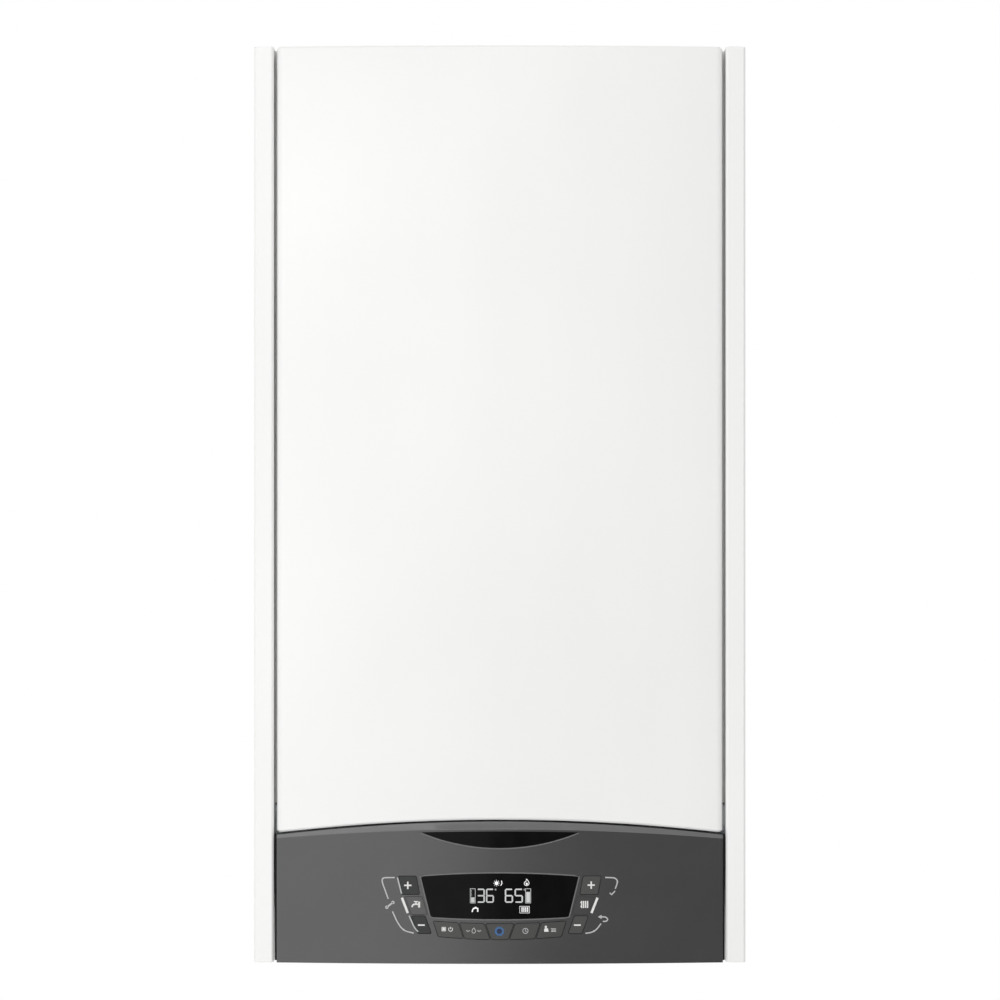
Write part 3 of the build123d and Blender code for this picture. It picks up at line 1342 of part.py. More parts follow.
def badge_face():
    top = bar_arc(BADGE_HALF, BADGE_TIP_H, BADGE_TOP_H - BADGE_TIP_H)
    low = bar_arc(BADGE_HALF, BADGE_TIP_H, BADGE_LOW_H - BADGE_TIP_H)
    return make_face([top, low])


def slanted_face(x, height, width, tall, lean):
    # four-sided key that leans towards the middle of the panel
    shift = lean * tall / 2
    corners = [(x + width / 2 + shift, up(height + tall / 2)),
               (x - width / 2 + shift, up(height + tall / 2)),
               (x - width / 2 - shift, up(height - tall / 2)),
               (x + width / 2 - shift, up(height - tall / 2))]
    return chamfer(outline(corners).vertices(), KEY_CORNER)


def divider(top_x, low_x):
    half = ROW_GAP / 2
    high = up(ROW_TOP_H + 5)
    low = up(ROW_LOW_H - 5)
    lean = (top_x - low_x) / (ROW_TOP_H - ROW_LOW_H)
    upper = top_x + 5 * lean
    lower = low_x - 5 * lean
    return outline([(upper - half, high), (upper + half, high), (lower + half, low),
                    (lower - half, low)])


def row_faces():
    # the curved row, split into keys from left to right
    row = lens(ROW_TOP_HALF, ROW_TOP_H, -ROW_TOP_SAG, ROW_LOW_HALF, ROW_LOW_H, -ROW_LOW_SAG)
    for top_x, low_x in ((INNER_SPLIT_TOP, INNER_SPLIT_LOW), (OUTER_SPLIT_TOP, OUTER_SPLIT_LOW)):
        row -= divider(top_x, low_x)
        row -= divider(-top_x, -low_x)
    faces = sorted(row.faces(), key=lambda face: middle_of(face).X)
    singles = [Face(face.wrapped) for face in faces]
    return [chamfer(face.vertices(), KEY_CORNER) for face in singles]


def key_faces():
    plus = slanted_face(PLUS_X, PLUS_KEY_H, PLUS_W, PLUS_TALL, PLUS_LEAN)
    minus = slanted_face(MINUS_X, MINUS_KEY_H, MINUS_W, MINUS_TALL, MINUS_LEAN)
    power, comfort, reset, programme, service = row_faces()
    return {
        "key_water_plus": mirrored(plus),
        "key_water_minus": mirrored(minus),
        "key_heating_plus": plus,
        "key_heating_minus": minus,
        "key_power": power,
        "key_comfort": comfort,
        "key_reset": reset,
        "key_programme": programme,
        "key_service": service,
    }


def front_at(x):
    return -CASE_D + CROWN * (x / COVER_HALF) ** 2


def key(face):
    cap = prism(face, -CASE_D - 1, PANEL_BACK) & crowned_skin(KEY_SINK, KEY_CAP_T)
    middle = middle_of(face)
    size = face.bounding_box().size
    wall = front_at(middle.X) + PANEL_WALL
    lug_front = wall + KEY_LUG_GAP
    reach = size.Y / 2 + KEY_LUG_REACH
    height = middle.Y - BASE_Z
    lug = slab(middle.X - KEY_LUG_W / 2, middle.X + KEY_LUG_W / 2, lug_front,
               lug_front + KEY_LUG_T, height - reach, height + reach)
    stem = slab(middle.X - KEY_LUG_W / 2, middle.X + KEY_LUG_W / 2, wall - KEY_STEM_SINK,
                BOARD_Y - SWITCH_T - KEY_TRAVEL - REST_GAP,
                height - KEY_STEM_HALF, height + KEY_STEM_HALF)
    return cap + lug + stem


def grown(face, amount):
    return offset(face, amount, kind=Kind.INTERSECTION)


def control_fascia():
    high = ARCH_H - ARCH_GAP / 2
    outer = arched_block(0, PANEL_BACK, high, 0)
    inner = arched_block(PANEL_WALL, PANEL_BACK + 5, high - PANEL_WALL, PANEL_WALL)
    backing = badge_backing() + window_backing()
    body = outer - (inner - backing)
    bevel = arch_region(BEVEL_LOW_H, BEVEL_ARC_R, CASE_H)
    body -= extrude(Plane.XZ.offset(CASE_D) * bevel, PANEL_DEPTH, dir=(0, 1, BEVEL_STEEPNESS))
    well = crowned_skin(-1, POCKET_DEPTH + 1)
    body -= prism(window_face(), -CASE_D - 2, PANEL_BACK) & well
    body -= prism(badge_face(), -CASE_D - 2, PANEL_BACK) & well
    for face in key_faces().values():
        body -= prism(grown(face, KEY_GAP), -CASE_D - 1, PANEL_BACK + 2)
    for height in (BOSS_LOW_H, BOSS_HIGH_H):
        boss = barrel(BOSS_X, height, BOSS_R, front_at(BOSS_X) + BOSS_SINK, PLATE_FRONT)
        body += both(boss)
    return body


def window_backing():
    layer = crowned_skin(0.5, POCKET_DEPTH + POCKET_FLOOR - 0.5)
    return prism(grown(window_face(), BACKING_EDGE), -CASE_D - 1, PANEL_BACK) & layer


def badge_backing():
    layer = crowned_skin(0.5, POCKET_DEPTH + POCKET_FLOOR - 0.5)
    edge = BACKING_EDGE
    frame = slab(-BADGE_HALF - edge, BADGE_HALF + edge, -CASE_D, PANEL_BACK,
                 BADGE_LOW_H - edge, BADGE_TOP_H + edge)
    return layer & frame


def display_window():
    layer = crowned_skin(INSERT_SINK, INSERT_T)
    return prism(grown(window_face(), -INSERT_GAP), -CASE_D - 1, PANEL_BACK) & layer


def badge_insert():
    layer = crowned_skin(INSERT_SINK, INSERT_T)
    return prism(grown(badge_face(), -INSERT_GAP), -CASE_D - 1, PANEL_BACK) & layer


def control_housing():
    plate = slab(-PLATE_HALF, PLATE_HALF, PLATE_FRONT, PLATE_FRONT + BOX_T, 4, PLATE_HIGH_H)
    box = slab(-BOX_HALF, BOX_HALF, PLATE_FRONT + BOX_T, BOX_BACK, BOX_LOW_H, BOX_HIGH_H)
    inner = slab(-BOX_HALF + BOX_T, BOX_HALF - BOX_T, PLATE_FRONT - 1, BOX_BACK - BOX_T,
                 BOX_LOW_H + BOX_T, BOX_HIGH_H - BOX_T)
    body = plate + box - inner
    lug_disc = extrude(disc(HINGE_LUG_R), HINGE_LUG_T)
    lug = Pos(BOX_HALF - HINGE_LUG_T, HINGE_Y, up(HINGE_H)) * Rot(0, 90, 0) * lug_disc
    lug += slab(BOX_HALF - HINGE_LUG_T, BOX_HALF, HINGE_Y, BOX_BACK - 4,
                HINGE_H - HINGE_LUG_R, HINGE_H + HINGE_LUG_R)
    lug += rod(BOX_HALF, BOX_HALF + HINGE_PIN_L, HINGE_Y, HINGE_H, HINGE_PIN_R)
    body += both(lug)
    low = BOX_LOW_H + GROMMET_RISE
    high = low + GROMMET_TALL
    wall = GROMMET_WALL
    grommet = slab(-GROMMET_W / 2, GROMMET_W / 2, BOX_BACK, BOX_BACK + GROMMET_OUT, low, high)
    for place in range(GROMMET_HOLES):
        x = (place - (GROMMET_HOLES - 1) / 2) * GROMMET_W / GROMMET_HOLES
        grommet -= slab(x - wall, x + wall, BOX_BACK - 1, BOX_BACK + GROMMET_OUT + 1,
                        low + wall, high - wall)
    return body + grommet


def control_board():
    half = BOX_HALF - BOX_T
    back = BOARD_Y + BOARD_T
    board = slab(-half, half, BOARD_Y, back, BOX_LOW_H + BOX_T, BOX_HIGH_H - BOX_T)
    for face in key_faces().values():
        middle = middle_of(face)
        h = middle.Y - BASE_Z
        board += slab(middle.X - SWITCH_W / 2, middle.X + SWITCH_W / 2, BOARD_Y - SWITCH_T,
                      BOARD_Y, h - SWITCH_W / 2, h + SWITCH_W / 2)
    board += slab(*MODULE_X, back, back + MODULE_DEPTH, *MODULE_H)
    for place in range(RELAYS):
        x = RELAY_X + RELAY_PITCH * place
        board += slab(x, x + RELAY_W, back, back + RELAY_DEPTH, *RELAY_H)
    return board


def parts():
    shapes = {
        "back_plate": back_plate(),
        "side_panel_right": side_panel(),
        "side_panel_left": mirrored(side_panel()),
        "top_plate": top_plate(),
        "bottom_plate": bottom_plate(),
        "cross_rail": cross_rail(),
        "casing_screws": casing_screws(),
        "front_cover": front_cover(),
        "cover_lining": cover_lining(),
        "flue_adapter": flue_adapter(),
        "flue_pipe": flue_pipe(),
        "expansion_vessel": expansion_vessel(),
        "vessel_hose": vessel_hose(),
        "mounting_plate": mounting_plate(),
        "heat_exchanger": heat_exchanger(),
        "burner_door": burner_door(),
        "door_nuts": door_nuts(),
        "electrodes": electrodes(),
        "fan_housing": fan_housing(),
        "fan_impeller": fan_impeller(),
        "fan_motor": fan_motor(),
        "venturi": venturi(),
        "air_silencer": air_silencer(),
        "gas_valve": gas_valve(),
        "gas_pipe": gas_pipe(),
        "gas_feed": gas_feed(),
        "flow_block": flow_block(),
        "return_block": return_block(),
        "pump_motor": pump_motor(),
        "pump_impeller": pump_impeller(),
        "plate_exchanger": plate_exchanger(),
        "diverter_motor": diverter_motor(),
        "diverter_spindle": diverter_spindle(),
        "flow_pipe": flow_pipe(),
        "return_pipe": return_pipe(),
        "safety_valve": safety_valve(),
        "safety_knob": safety_knob(),
        "filling_knob": filling_knob(),
        "air_vent": air_vent(),
        "air_vent_cap": air_vent_cap(),
        "pipe_tails": pipe_tails(),
        "condensate_trap": condensate_trap(),
        "condensate_hose": condensate_hose(),
        "sensors": sensors(),
        "control_fascia": control_fascia(),
        "display_window": display_window(),
        "badge_insert": badge_insert(),
        "control_housing": control_housing(),
        "control_board": control_board(),
    }
    for name, face in key_faces().items():
        shapes[name] = key(face)
    return shapes


for name, shape in parts().items():
    export_step(shape, f"parts/{name}.step")
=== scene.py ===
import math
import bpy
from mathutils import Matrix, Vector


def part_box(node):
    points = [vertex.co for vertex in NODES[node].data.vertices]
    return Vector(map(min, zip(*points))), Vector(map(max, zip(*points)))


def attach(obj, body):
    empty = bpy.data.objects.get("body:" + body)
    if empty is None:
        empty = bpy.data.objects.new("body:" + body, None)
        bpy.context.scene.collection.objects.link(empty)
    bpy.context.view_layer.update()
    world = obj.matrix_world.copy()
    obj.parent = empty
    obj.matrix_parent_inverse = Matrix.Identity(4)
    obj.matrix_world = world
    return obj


bl_info = {
    "name": "Wall-hung combi boiler",
    "version": (1, 0, 0),
    "blender": (4, 5, 0),
    "location": "View3D > Sidebar > Boiler",
    "description": "Finishes, printed symbols, display and fine fittings of a combi boiler",
    "category": "Object",
}

import bmesh
import bpy
from bpy.props import FloatProperty, FloatVectorProperty, PointerProperty
from bpy.types import Operator, Panel, PropertyGroup
from mathutils import Vector

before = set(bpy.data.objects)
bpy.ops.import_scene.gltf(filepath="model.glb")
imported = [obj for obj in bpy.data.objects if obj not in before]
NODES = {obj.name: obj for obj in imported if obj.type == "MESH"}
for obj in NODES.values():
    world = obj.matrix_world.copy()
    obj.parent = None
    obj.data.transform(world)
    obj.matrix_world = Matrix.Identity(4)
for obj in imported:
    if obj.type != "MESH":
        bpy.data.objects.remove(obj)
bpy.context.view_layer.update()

# Places of the frame are in metres. Drawings on the front are in millimetres, as (across, height),
# counted from the middle and from the lower edge of the casing.
BASE_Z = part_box("side_panel_left")[0][2]
FRONT_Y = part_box("control_fascia")[0][1]
FASCIA_HALF_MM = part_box("control_fascia")[1][0] * 1000

# Crown of the front between its middle and its sides
CROWN_MM = 7.0
CROWN_R_MM = (FASCIA_HALF_MM ** 2 + CROWN_MM ** 2) / (2 * CROWN_MM)

# Corners closer than these, in metres, become one: on the frame's meshes, and in printed drawings
WELD = 0.000002
CORNER_JOIN = 0.00001

# Edges of the frame's meshes: the casing's get a radius, and the works' stay sharp, over these
EDGE_DEGREES = 30.0
FOLD_DEGREES = 35.0

# Thickness of printing, and how far the keys and the pane lie behind the front
INK_MM = 0.05
KEY_SINK_MM = 0.2
GLASS_SINK_MM = 0.3

# Arched upper edge of the fascia, the fold from which it slopes back, 1 mm in 3 of height, and the
# band below the arch, as wide as this at its ends and wider by the swell in the middle
ARCH_MM = 115.25
ARCH_R_MM = 1460.0
FOLD_MM = 108.7
FOLD_R_MM = 1160.0
SLOPE = 3.0
BAND_MM = 3.0
BAND_SWELL_MM = 3.0

# Squared side edges of the fascia: insets of the front and, with their y, of the back, how far the
# front stands proud of the solid and how far the top stays below it
EDGE_INSETS_MM = (6.0, 4.6, 3.2, 1.8, 0.6)
EDGE_BACK_MM = ((0.0, -306.9), (1.2, -308.0), (3.0, -309.6), (6.0, -311.3))
EDGE_PROUD_MM = 0.03
EDGE_SHORT_MM = 0.02

# Edges of the window and the finger recess, as half width, height at the ends, and rise between
WINDOW_HEAD = (64.0, 70.7, 2.6)
WINDOW_FOOT = (55.9, 37.9, -1.7)
RECESS_FOOT = (64.0, 105.9, -12.6)

# Width of the window's rim, and the section of a half-round bead, in shares of its width and of
# its height, counted towards the wall
RIM_MM = 1.1
BEAD = ((-0.5, 0.2), (-0.32, -0.7), (0.0, -1.0), (0.32, -0.7), (0.5, 0.2))

# Black strips that put painted shade into the gaps beside the fascia: section counted from its side,
# place in depth, ends
STRIP = ((-1.6, 2.6), (-1.6, 0.4), (0.2, 0.0), (1.5, 0.5), (1.9, 1.1), (1.6, 1.5), (0.3, 1.2),
         (0.0, 2.6))
STRIP_Y_MM = -307.0
STRIP_LOW_MM = 1.0
STRIP_HIGH_MM = 104.0
STRIP_EDGE_MM = 0.15

# Figures of the display, each between two ends, their foot, head and stroke; a stroke's pointed
# ends in half widths and the gap before them in widths; and the degree rings
DIGITS = ((3, -18.6, -12.1), (6, -11.2, -4.7), (6, 4.1, 10.8), (5, 12.0, 18.8))
DIGIT_LOW_MM = 49.5
DIGIT_HIGH_MM = 61.0
STROKE_MM = 1.15
POINTED = 0.6
DIGIT_GAP = 0.35
DEGREES_AT = ((-3.4, 60.2), (20.0, 60.2))

# Middle of the round sign on the reset key
RESET_AT = (-0.3, 26.4)

# Picture: metres across at the plane of the front, and the point on that plane in its middle
VIEW_WIDTH = 0.8136
VIEW_MIDDLE = (0.0002, -0.311, -0.3239)
SENSOR_MM = 36.0

# Floor, which fades to white between two distances from its middle
FLOOR_RADIUS = 1.5
FADE_FROM = 0.7
FADE_TO = 1.4

# Softboxes: the front one looks straight ahead, and each other one, given by its name, place,
# width, height and brightness, looks at the middle of the boiler
FRONT_SOFTBOX = (-1.35, -4.4, -0.9)
AHEAD = (-1.35, -0.3, -0.9)
MIDDLE = (0.0, -0.3, -0.33)
SOFTBOXES = (
    ("Softbox high", (-1.0, -3.0, 1.0), 2.2, 0.8, 3.4),
    ("Softbox left", (-2.1, -2.6, -0.8), 1.2, 1.8, 1.5),
    ("Softbox right", (2.6, -1.4, 0.2), 1.6, 2.2, 0.35),
    ("Softbox above", (0.0, -0.6, 2.2), 2.4, 2.0, 0.5),
)

LEFT_KEYS = ("key_water_plus", "key_water_minus")
RIGHT_KEYS = ("key_heating_plus", "key_heating_minus")
ROW_KEYS = ("key_power", "key_comfort", "key_reset", "key_programme", "key_service")


# Colours and nodes

NOISE = "ShaderNodeTexNoise"


def linear(code):
    """Linear RGBA of an sRGB hex colour."""
    values = [int(code[place:place + 2], 16) / 255 for place in (1, 3, 5)]
    return [v / 12.92 if v <= 0.04045 else ((v + 0.055) / 1.055) ** 2.4 for v in values] + [1.0]


def shade(colour, share=1.0):
    """Linear RGBA of a colour setting, deepened to a share of itself."""
    return [channel * share for channel in colour] + [1.0]


def add(tree, kind, settings=None, links=None):
    """Adds a node. Keys that start with a dot are its attributes, and ramp is a list of stops."""
    made = tree.nodes.new(kind)
    for key, value in (settings or {}).items():
        if key == "ramp":
            stops = made.color_ramp.elements
            for place, (position, code) in enumerate(value):
                stop = stops[place] if place < 2 else stops.new(position)
                stop.position = position
                stop.color = linear(code) if isinstance(code, str) else code
        elif isinstance(key, str) and key.startswith("."):
            setattr(made, key[1:], value)
        else:
            made.inputs[key].default_value = value
    for key, source in (links or {}).items():
        tree.links.new(source, made.inputs[key])
    return made


def surface(name, values):
    """New material with one shader, and the place on the object in metres for its patterns."""
    material = bpy.data.materials.new(name)
    material.use_nodes = True
    tree = material.node_tree
    tree.nodes.clear()
    shader = add(tree, "ShaderNodeBsdfPrincipled", values)
    add(tree, "ShaderNodeOutputMaterial", links={"Surface": shader.outputs["BSDF"]})
    place = add(tree, "ShaderNodeTexCoord").outputs["Object"]
    return material, tree, shader, place


def lead(shader, colour, rough=None, relief=None):
    """Turns patterns into the colour, roughness and relief of a shader.

    Colour is a pattern with its stops, rough is a pattern with two limits, and relief is a pattern
    with its strength and its depth in mm. Gives the colour back.
    """
    tree = shader.id_data
    pattern, stops = colour
    tint = add(tree, "ShaderNodeValToRGB", {"ramp": stops}, {"Fac": pattern}).outputs["Color"]
    tree.links.new(tint, shader.inputs["Base Color"])
    if rough:
        pattern, low, high = rough
        gloss = add(tree, "ShaderNodeMapRange", {"To Min": low, "To Max": high}, {"Value": pattern})
        tree.links.new(gloss.outputs["Result"], shader.inputs["Roughness"])
    if relief:
        pattern, strength, depth = relief
        bump = add(tree, "ShaderNodeBump", {"Strength": strength, "Distance": depth / 1000},
                   {"Height": pattern})
        tree.links.new(bump.outputs["Normal"], shader.inputs["Normal"])
    return tint


# Materials

def powder_coat(name, pale, deep):
    """Polyester powder coat on steel, sprayed and baked."""
    # Gives an even satin white with a faint orange peel and slightly cloudy gloss
    coat = {"IOR": 1.5, "Coat Weight": 0.12, "Coat Roughness": 0.18}
    material, tree, shader, place = surface(name, coat)
    cloud = add(tree, NOISE, {"Scale": 1000 / 200, "Detail": 2.0}, {"Vector": place})
    peel = add(tree, NOISE, {"Scale": 1000 / 2.2, "Detail": 2.0, "Roughness": 0.4},
               {"Vector": place}).outputs["Fac"]
    lead(shader, (cloud.outputs["Fac"], [(0.3, deep), (0.7, pale)]), (peel, 0.34, 0.44),
         (peel, 0.12, 0.2))
    return material


def spangled_zinc(name):
    """Hot-dip galvanised sheet, skin-passed."""
    # Gives the frosted, many-faced crystals of zinc in close greys, 6 to 9 mm across, with edges
    # that a noise shifts by up to 4 mm
    material, tree, shader, place = surface(name, {"Metallic": 0.9})
    bent = add(tree, NOISE, {"Scale": 1000 / 12, "Detail": 3.0}, {"Vector": place})
    offset = add(tree, "ShaderNodeVectorMath", {".operation": "MULTIPLY_ADD", 1: (0.004,) * 3},
                 {0: bent.outputs["Color"], 2: place})
    crystal = add(tree, "ShaderNodeTexVoronoi", {"Scale": 1000 / 8}, {"Vector": offset.outputs[0]})
    tone = add(tree, "ShaderNodeSeparateColor", links={"Color": crystal.outputs["Color"]})
    grain = add(tree, NOISE, {"Scale": 1000 / 0.7, "Detail": 2.0}, {"Vector": place})
    lead(shader, (tone.outputs[0], [(0.0, "#9BA0A3"), (1.0, "#BFC3C5")]),
         (tone.outputs[1], 0.38, 0.56), (grain.outputs["Fac"], 0.15, 0.1))
    return material


def bright_zinc(name):
    """Steel screws and nuts, electroplated with zinc and blue passivated."""
    # Gives a pale blue-grey shine with a trace of yellow
    material, tree, shader, place = surface(name, {"Metallic": 1.0, "Roughness": 0.3})
    stain = add(tree, NOISE, {"Scale": 1000 / 5, "Detail": 3.0}, {"Vector": place})
    lead(shader, (stain.outputs["Fac"], [(0.35, "#B9BEC4"), (0.7, "#C9C4B4")]))
    return material


def brushed_stainless(name, along):
    """Stainless steel sheet, brushed in one direction."""
    # Gives fine parallel scratches, 25 mm long; 0.4 mm apart is coarser than real, so they show
    material, tree, shader, place = surface(name, {"Metallic": 1.0, "Anisotropic": 0.5})
    per_metre = [1000 / (25 if axis == along else 0.4) for axis in range(3)]
    lines = add(tree, "ShaderNodeVectorMath", {".operation": "MULTIPLY", 1: per_metre}, {0: place})
    scratch = add(tree, NOISE, {"Scale": 1.0, "Detail": 3.0, "Roughness": 0.6},
                  {"Vector": lines.outputs[0]}).outputs["Fac"]
    lead(shader, (scratch, [(0.3, "#A09E9A"), (0.7, "#C6C4BF")]), (scratch, 0.26, 0.42),
         (scratch, 0.12, 0.1))
    return material


def cast_aluminium(name, pale, deep):
    """Die-cast aluminium, shot-blasted."""
    # Gives a dull grey skin with darker flow marks; its grain of 0.6 mm is a coarse one, so it shows
    material, tree, shader, place = surface(name, {"Metallic": 0.85})
    flow = add(tree, NOISE, {"Scale": 1000 / 28, "Detail": 4.0}, {"Vector": place})
    grit = add(tree, NOISE, {"Scale": 1000 / 0.6, "Detail": 2.0}, {"Vector": place}).outputs["Fac"]
    lead(shader, (flow.outputs["Fac"], [(0.3, deep), (0.7, pale)]), (grit, 0.42, 0.6),
         (grit, 0.35, 0.2))
    return material


def machined_brass(name):
    """Brass, forged and turned on a lathe."""
    # Gives a warm yellow with brown handling marks and fine rings from the tool. The wave repeats
    # every 0.314 of its unit of 10 mm: rings 3 mm apart, coarser than real, so they show.
    material, tree, shader, place = surface(name, {"Metallic": 1.0})
    stain = add(tree, NOISE, {"Scale": 1000 / 9, "Detail": 4.0}, {"Vector": place}).outputs["Fac"]
    rings = add(tree, "ShaderNodeTexWave", {".wave_type": "BANDS", ".bands_direction": "Z",
                                            "Scale": 1000 / 10, "Distortion": 1.5},
                {"Vector": place})
    lead(shader, (stain, [(0.3, "#8F7540"), (0.62, "#C8A863")]), (stain, 0.24, 0.42),
         (rings.outputs["Fac"], 0.08, 0.1))
    return material


def drawn_copper(name):
    """Copper tube, drawn and left bare."""
    # Gives a pinkish metal with brown oxide streaks, 2.5 mm wide and 45 mm long
    material, tree, shader, place = surface(name, {"Metallic": 1.0})
    per_metre = (400.0, 400.0, 22.0)
    lines = add(tree, "ShaderNodeVectorMath", {".operation": "MULTIPLY", 1: per_metre}, {0: place})
    streak = add(tree, NOISE, {"Scale": 1.0, "Detail": 4.0}, {"Vector": lines.outputs[0]}).outputs["Fac"]
    lead(shader, (streak, [(0.3, "#7F4A34"), (0.5, "#B87458"), (0.75, "#D39B7E")]),
         (streak, 0.42, 0.22))
    return material


def stove_enamel(name, pale, deep):
    """Stove enamel on pressed steel."""
    # Gives a wet-looking even coat that thins to a deeper tone, with a soft wave in it
    coat = {"IOR": 1.52, "Roughness": 0.24, "Coat Weight": 0.5, "Coat Roughness": 0.08}
    material, tree, shader, place = surface(name, coat)
    cloud = add(tree, NOISE, {"Scale": 1000 / 60, "Detail": 3.0}, {"Vector": place})
    wave = add(tree, NOISE, {"Scale": 1000 / 5, "Detail": 1.0}, {"Vector": place})
    lead(shader, (cloud.outputs["Fac"], [(0.3, deep), (0.7, pale)]),
         relief=(wave.outputs["Fac"], 0.1, 0.2))
    return material


def moulded_plastic(name, pale, deep, rough, grain_mm, depth, shine=0.5):
    """Thermoplastic or ceramic, moulded; a spark-eroded tool gives it the grain and its depth."""
    # Gives a satin skin whose grain scatters the highlights; it is drawn coarser than the 0.1 mm of
    # a real tool, so that it shows
    material, tree, shader, place = surface(name, {"IOR": 1.54, "Specular IOR Level": shine})
    cloud = add(tree, NOISE, {"Scale": 1000 / 45, "Detail": 2.0}, {"Vector": place})
    grain = add(tree, NOISE, {"Scale": 1000 / grain_mm, "Detail": 3.0}, {"Vector": place}).outputs["Fac"]
    lead(shader, (cloud.outputs["Fac"], [(0.25, deep), (0.75, pale)]),
         (grain, rough - 0.05, rough + 0.06), (grain, depth, 0.1))
    return material


def filled_polyamide(name):
    """Polyamide with glass fibre, moulded."""
    # Gives a dark grey with pale flecks of fibre, drawn 0.6 mm wide and 1.4 mm long, so they show
    material, tree, shader, place = surface(name, {"IOR": 1.54})
    per_metre = (1800.0, 1800.0, 700.0)
    lines = add(tree, "ShaderNodeVectorMath", {".operation": "MULTIPLY", 1: per_metre}, {0: place})
    fleck = add(tree, NOISE, {"Scale": 1.0, "Detail": 2.0, "Roughness": 0.7},
                {"Vector": lines.outputs[0]}).outputs["Fac"]
    lead(shader, (fleck, [(0.3, "#2B2C2E"), (0.62, "#3A3C3E"), (0.8, "#5A5C5E")]),
         (fleck, 0.4, 0.62), (fleck, 0.2, 0.1))
    return material


def polished_pane(name, code):
    """Polycarbonate pane, back-printed black and given an anti-reflex coat."""
    # Gives a deep black with a weak reflection and a trace of dust that softens it
    material, tree, shader, place = surface(name, {"IOR": 1.58, "Specular IOR Level": 0.04})
    dust = add(tree, NOISE, {"Scale": 1000 / 14, "Detail": 5.0}, {"Vector": place}).outputs["Fac"]
    lead(shader, (dust, [(0.3, code), (0.8, "#131314")]), (dust, 0.05, 0.14))
    return material


def screen_ink(name, pale, deep):
    """Two-part screen-printing ink on plastic."""
    # Gives a dense flat line that keeps the weave of the screen; a real one is 0.12 mm apart, and
    # it is drawn at 0.4 mm, so that it shows
    material, tree, shader, place = surface(name, {"IOR": 1.5, "Roughness": 0.55})
    weave = add(tree, NOISE, {"Scale": 1000 / 0.4, "Detail": 1.0}, {"Vector": place})
    lead(shader, (weave.outputs["Fac"], [(0.3, deep), (0.6, pale)]))
    return material


def lit_segments(name, code, strength):
    """Reversed liquid crystal with a light behind it."""
    # Gives pale segments that glow a little unevenly
    lit = {"IOR": 1.5, "Roughness": 0.35, "Emission Strength": strength}
    material, tree, shader, place = surface(name, lit)
    patch = add(tree, NOISE, {"Scale": 1000 / 18, "Detail": 1.0}, {"Vector": place})
    tint = lead(shader, (patch.outputs["Fac"], [(0.2, "#A9ABAA"), (0.6, code)]))
    tree.links.new(tint, shader.inputs["Emission Color"])
    return material


def seal_rubber(name):
    """EPDM rubber, moulded."""
    # Gives a dull black with a bloom of grey
    material, tree, shader, place = surface(name, {"IOR": 1.5})
    bloom = add(tree, NOISE, {"Scale": 1000 / 7, "Detail": 4.0}, {"Vector": place}).outputs["Fac"]
    lead(shader, (bloom, [(0.35, "#151516"), (0.75, "#2C2C2D")]), (bloom, 0.55, 0.75))
    return material


def fibre_mat(name):
    """Ceramic fibre mat with a foil face, needled."""
    # Gives crumpled dull foil over a soft mat, with creases about 15 mm apart
    material, tree, shader, place = surface(name, {"Metallic": 0.6})
    crease = add(tree, "ShaderNodeTexVoronoi", {".feature": "SMOOTH_F1", "Scale": 1000 / 15},
                 {"Vector": place})
    fine = add(tree, NOISE, {"Scale": 1000 / 3, "Detail": 4.0}, {"Vector": place}).outputs["Fac"]
    lead(shader, (fine, [(0.2, "#8C8E8F"), (0.8, "#B5B6B5")]), (fine, 0.35, 0.6),
         (crease.outputs["Distance"], 0.5, 1.0))
    return material


def solder_mask(name):
    """Glass-epoxy board with green solder mask, printed and cured."""
    # Gives a glossy green with the darker tracks that show through the mask, 0.6 mm wide
    material, tree, shader, place = surface(name, {"IOR": 1.55, "Roughness": 0.28})
    greens = {"Color1": linear("#14502E"), "Color2": linear("#1A5C36"), "Mortar": linear("#0D3A20")}
    tracks = add(tree, "ShaderNodeTexBrick", {"Scale": 1000 / 6, "Mortar Size": 0.05, **greens},
                 {"Vector": place})
    tree.links.new(tracks.outputs["Color"], shader.inputs["Base Color"])
    return material


# Putting finishes on the frame's pieces

def finish(node, material):
    """Gives a piece of the frame its material, without touching its mesh."""
    item = NODES[node]
    for slot in item.material_slots:
        slot.link = "OBJECT"
        slot.material = material


def round_edges(node, width_mm):
    """Small radius along the sharp edges of a piece of the frame."""
    item = NODES[node]
    weld = item.modifiers.new("Joined", "WELD")
    weld.merge_threshold = WELD
    bevel = item.modifiers.new("Edge radius", "BEVEL")
    bevel.width = width_mm / 1000
    bevel.segments = 2
    bevel.limit_method = "ANGLE"
    bevel.angle_limit = math.radians(EDGE_DEGREES)
    bevel.harden_normals = True


def fold_finder():
    """Geometry nodes that keep the folds of a mesh sharp and shade the rest of it as round."""
    name = "Sharp folds"
    if name in bpy.data.node_groups:
        return bpy.data.node_groups[name]
    tree = bpy.data.node_groups.new(name, "GeometryNodeTree")
    tree.interface.new_socket("Geometry", in_out="INPUT", socket_type="NodeSocketGeometry")
    tree.interface.new_socket("Geometry", in_out="OUTPUT", socket_type="NodeSocketGeometry")
    start = add(tree, "NodeGroupInput")
    fold = add(tree, "GeometryNodeInputMeshEdgeAngle")
    sharp = add(tree, "FunctionNodeCompare", {"B": math.radians(FOLD_DEGREES)},
                {"A": fold.outputs["Unsigned Angle"]})
    marked = add(tree, "GeometryNodeStoreNamedAttribute",
                 {".data_type": "BOOLEAN", ".domain": "EDGE", "Name": "sharp_edge"},
                 {"Geometry": start.outputs[0], "Value": sharp.outputs["Result"]})
    smooth = add(tree, "GeometryNodeSetShadeSmooth", {"Shade Smooth": True},
                 {"Geometry": marked.outputs["Geometry"]})
    add(tree, "NodeGroupOutput", links={0: smooth.outputs["Geometry"]})
    return tree


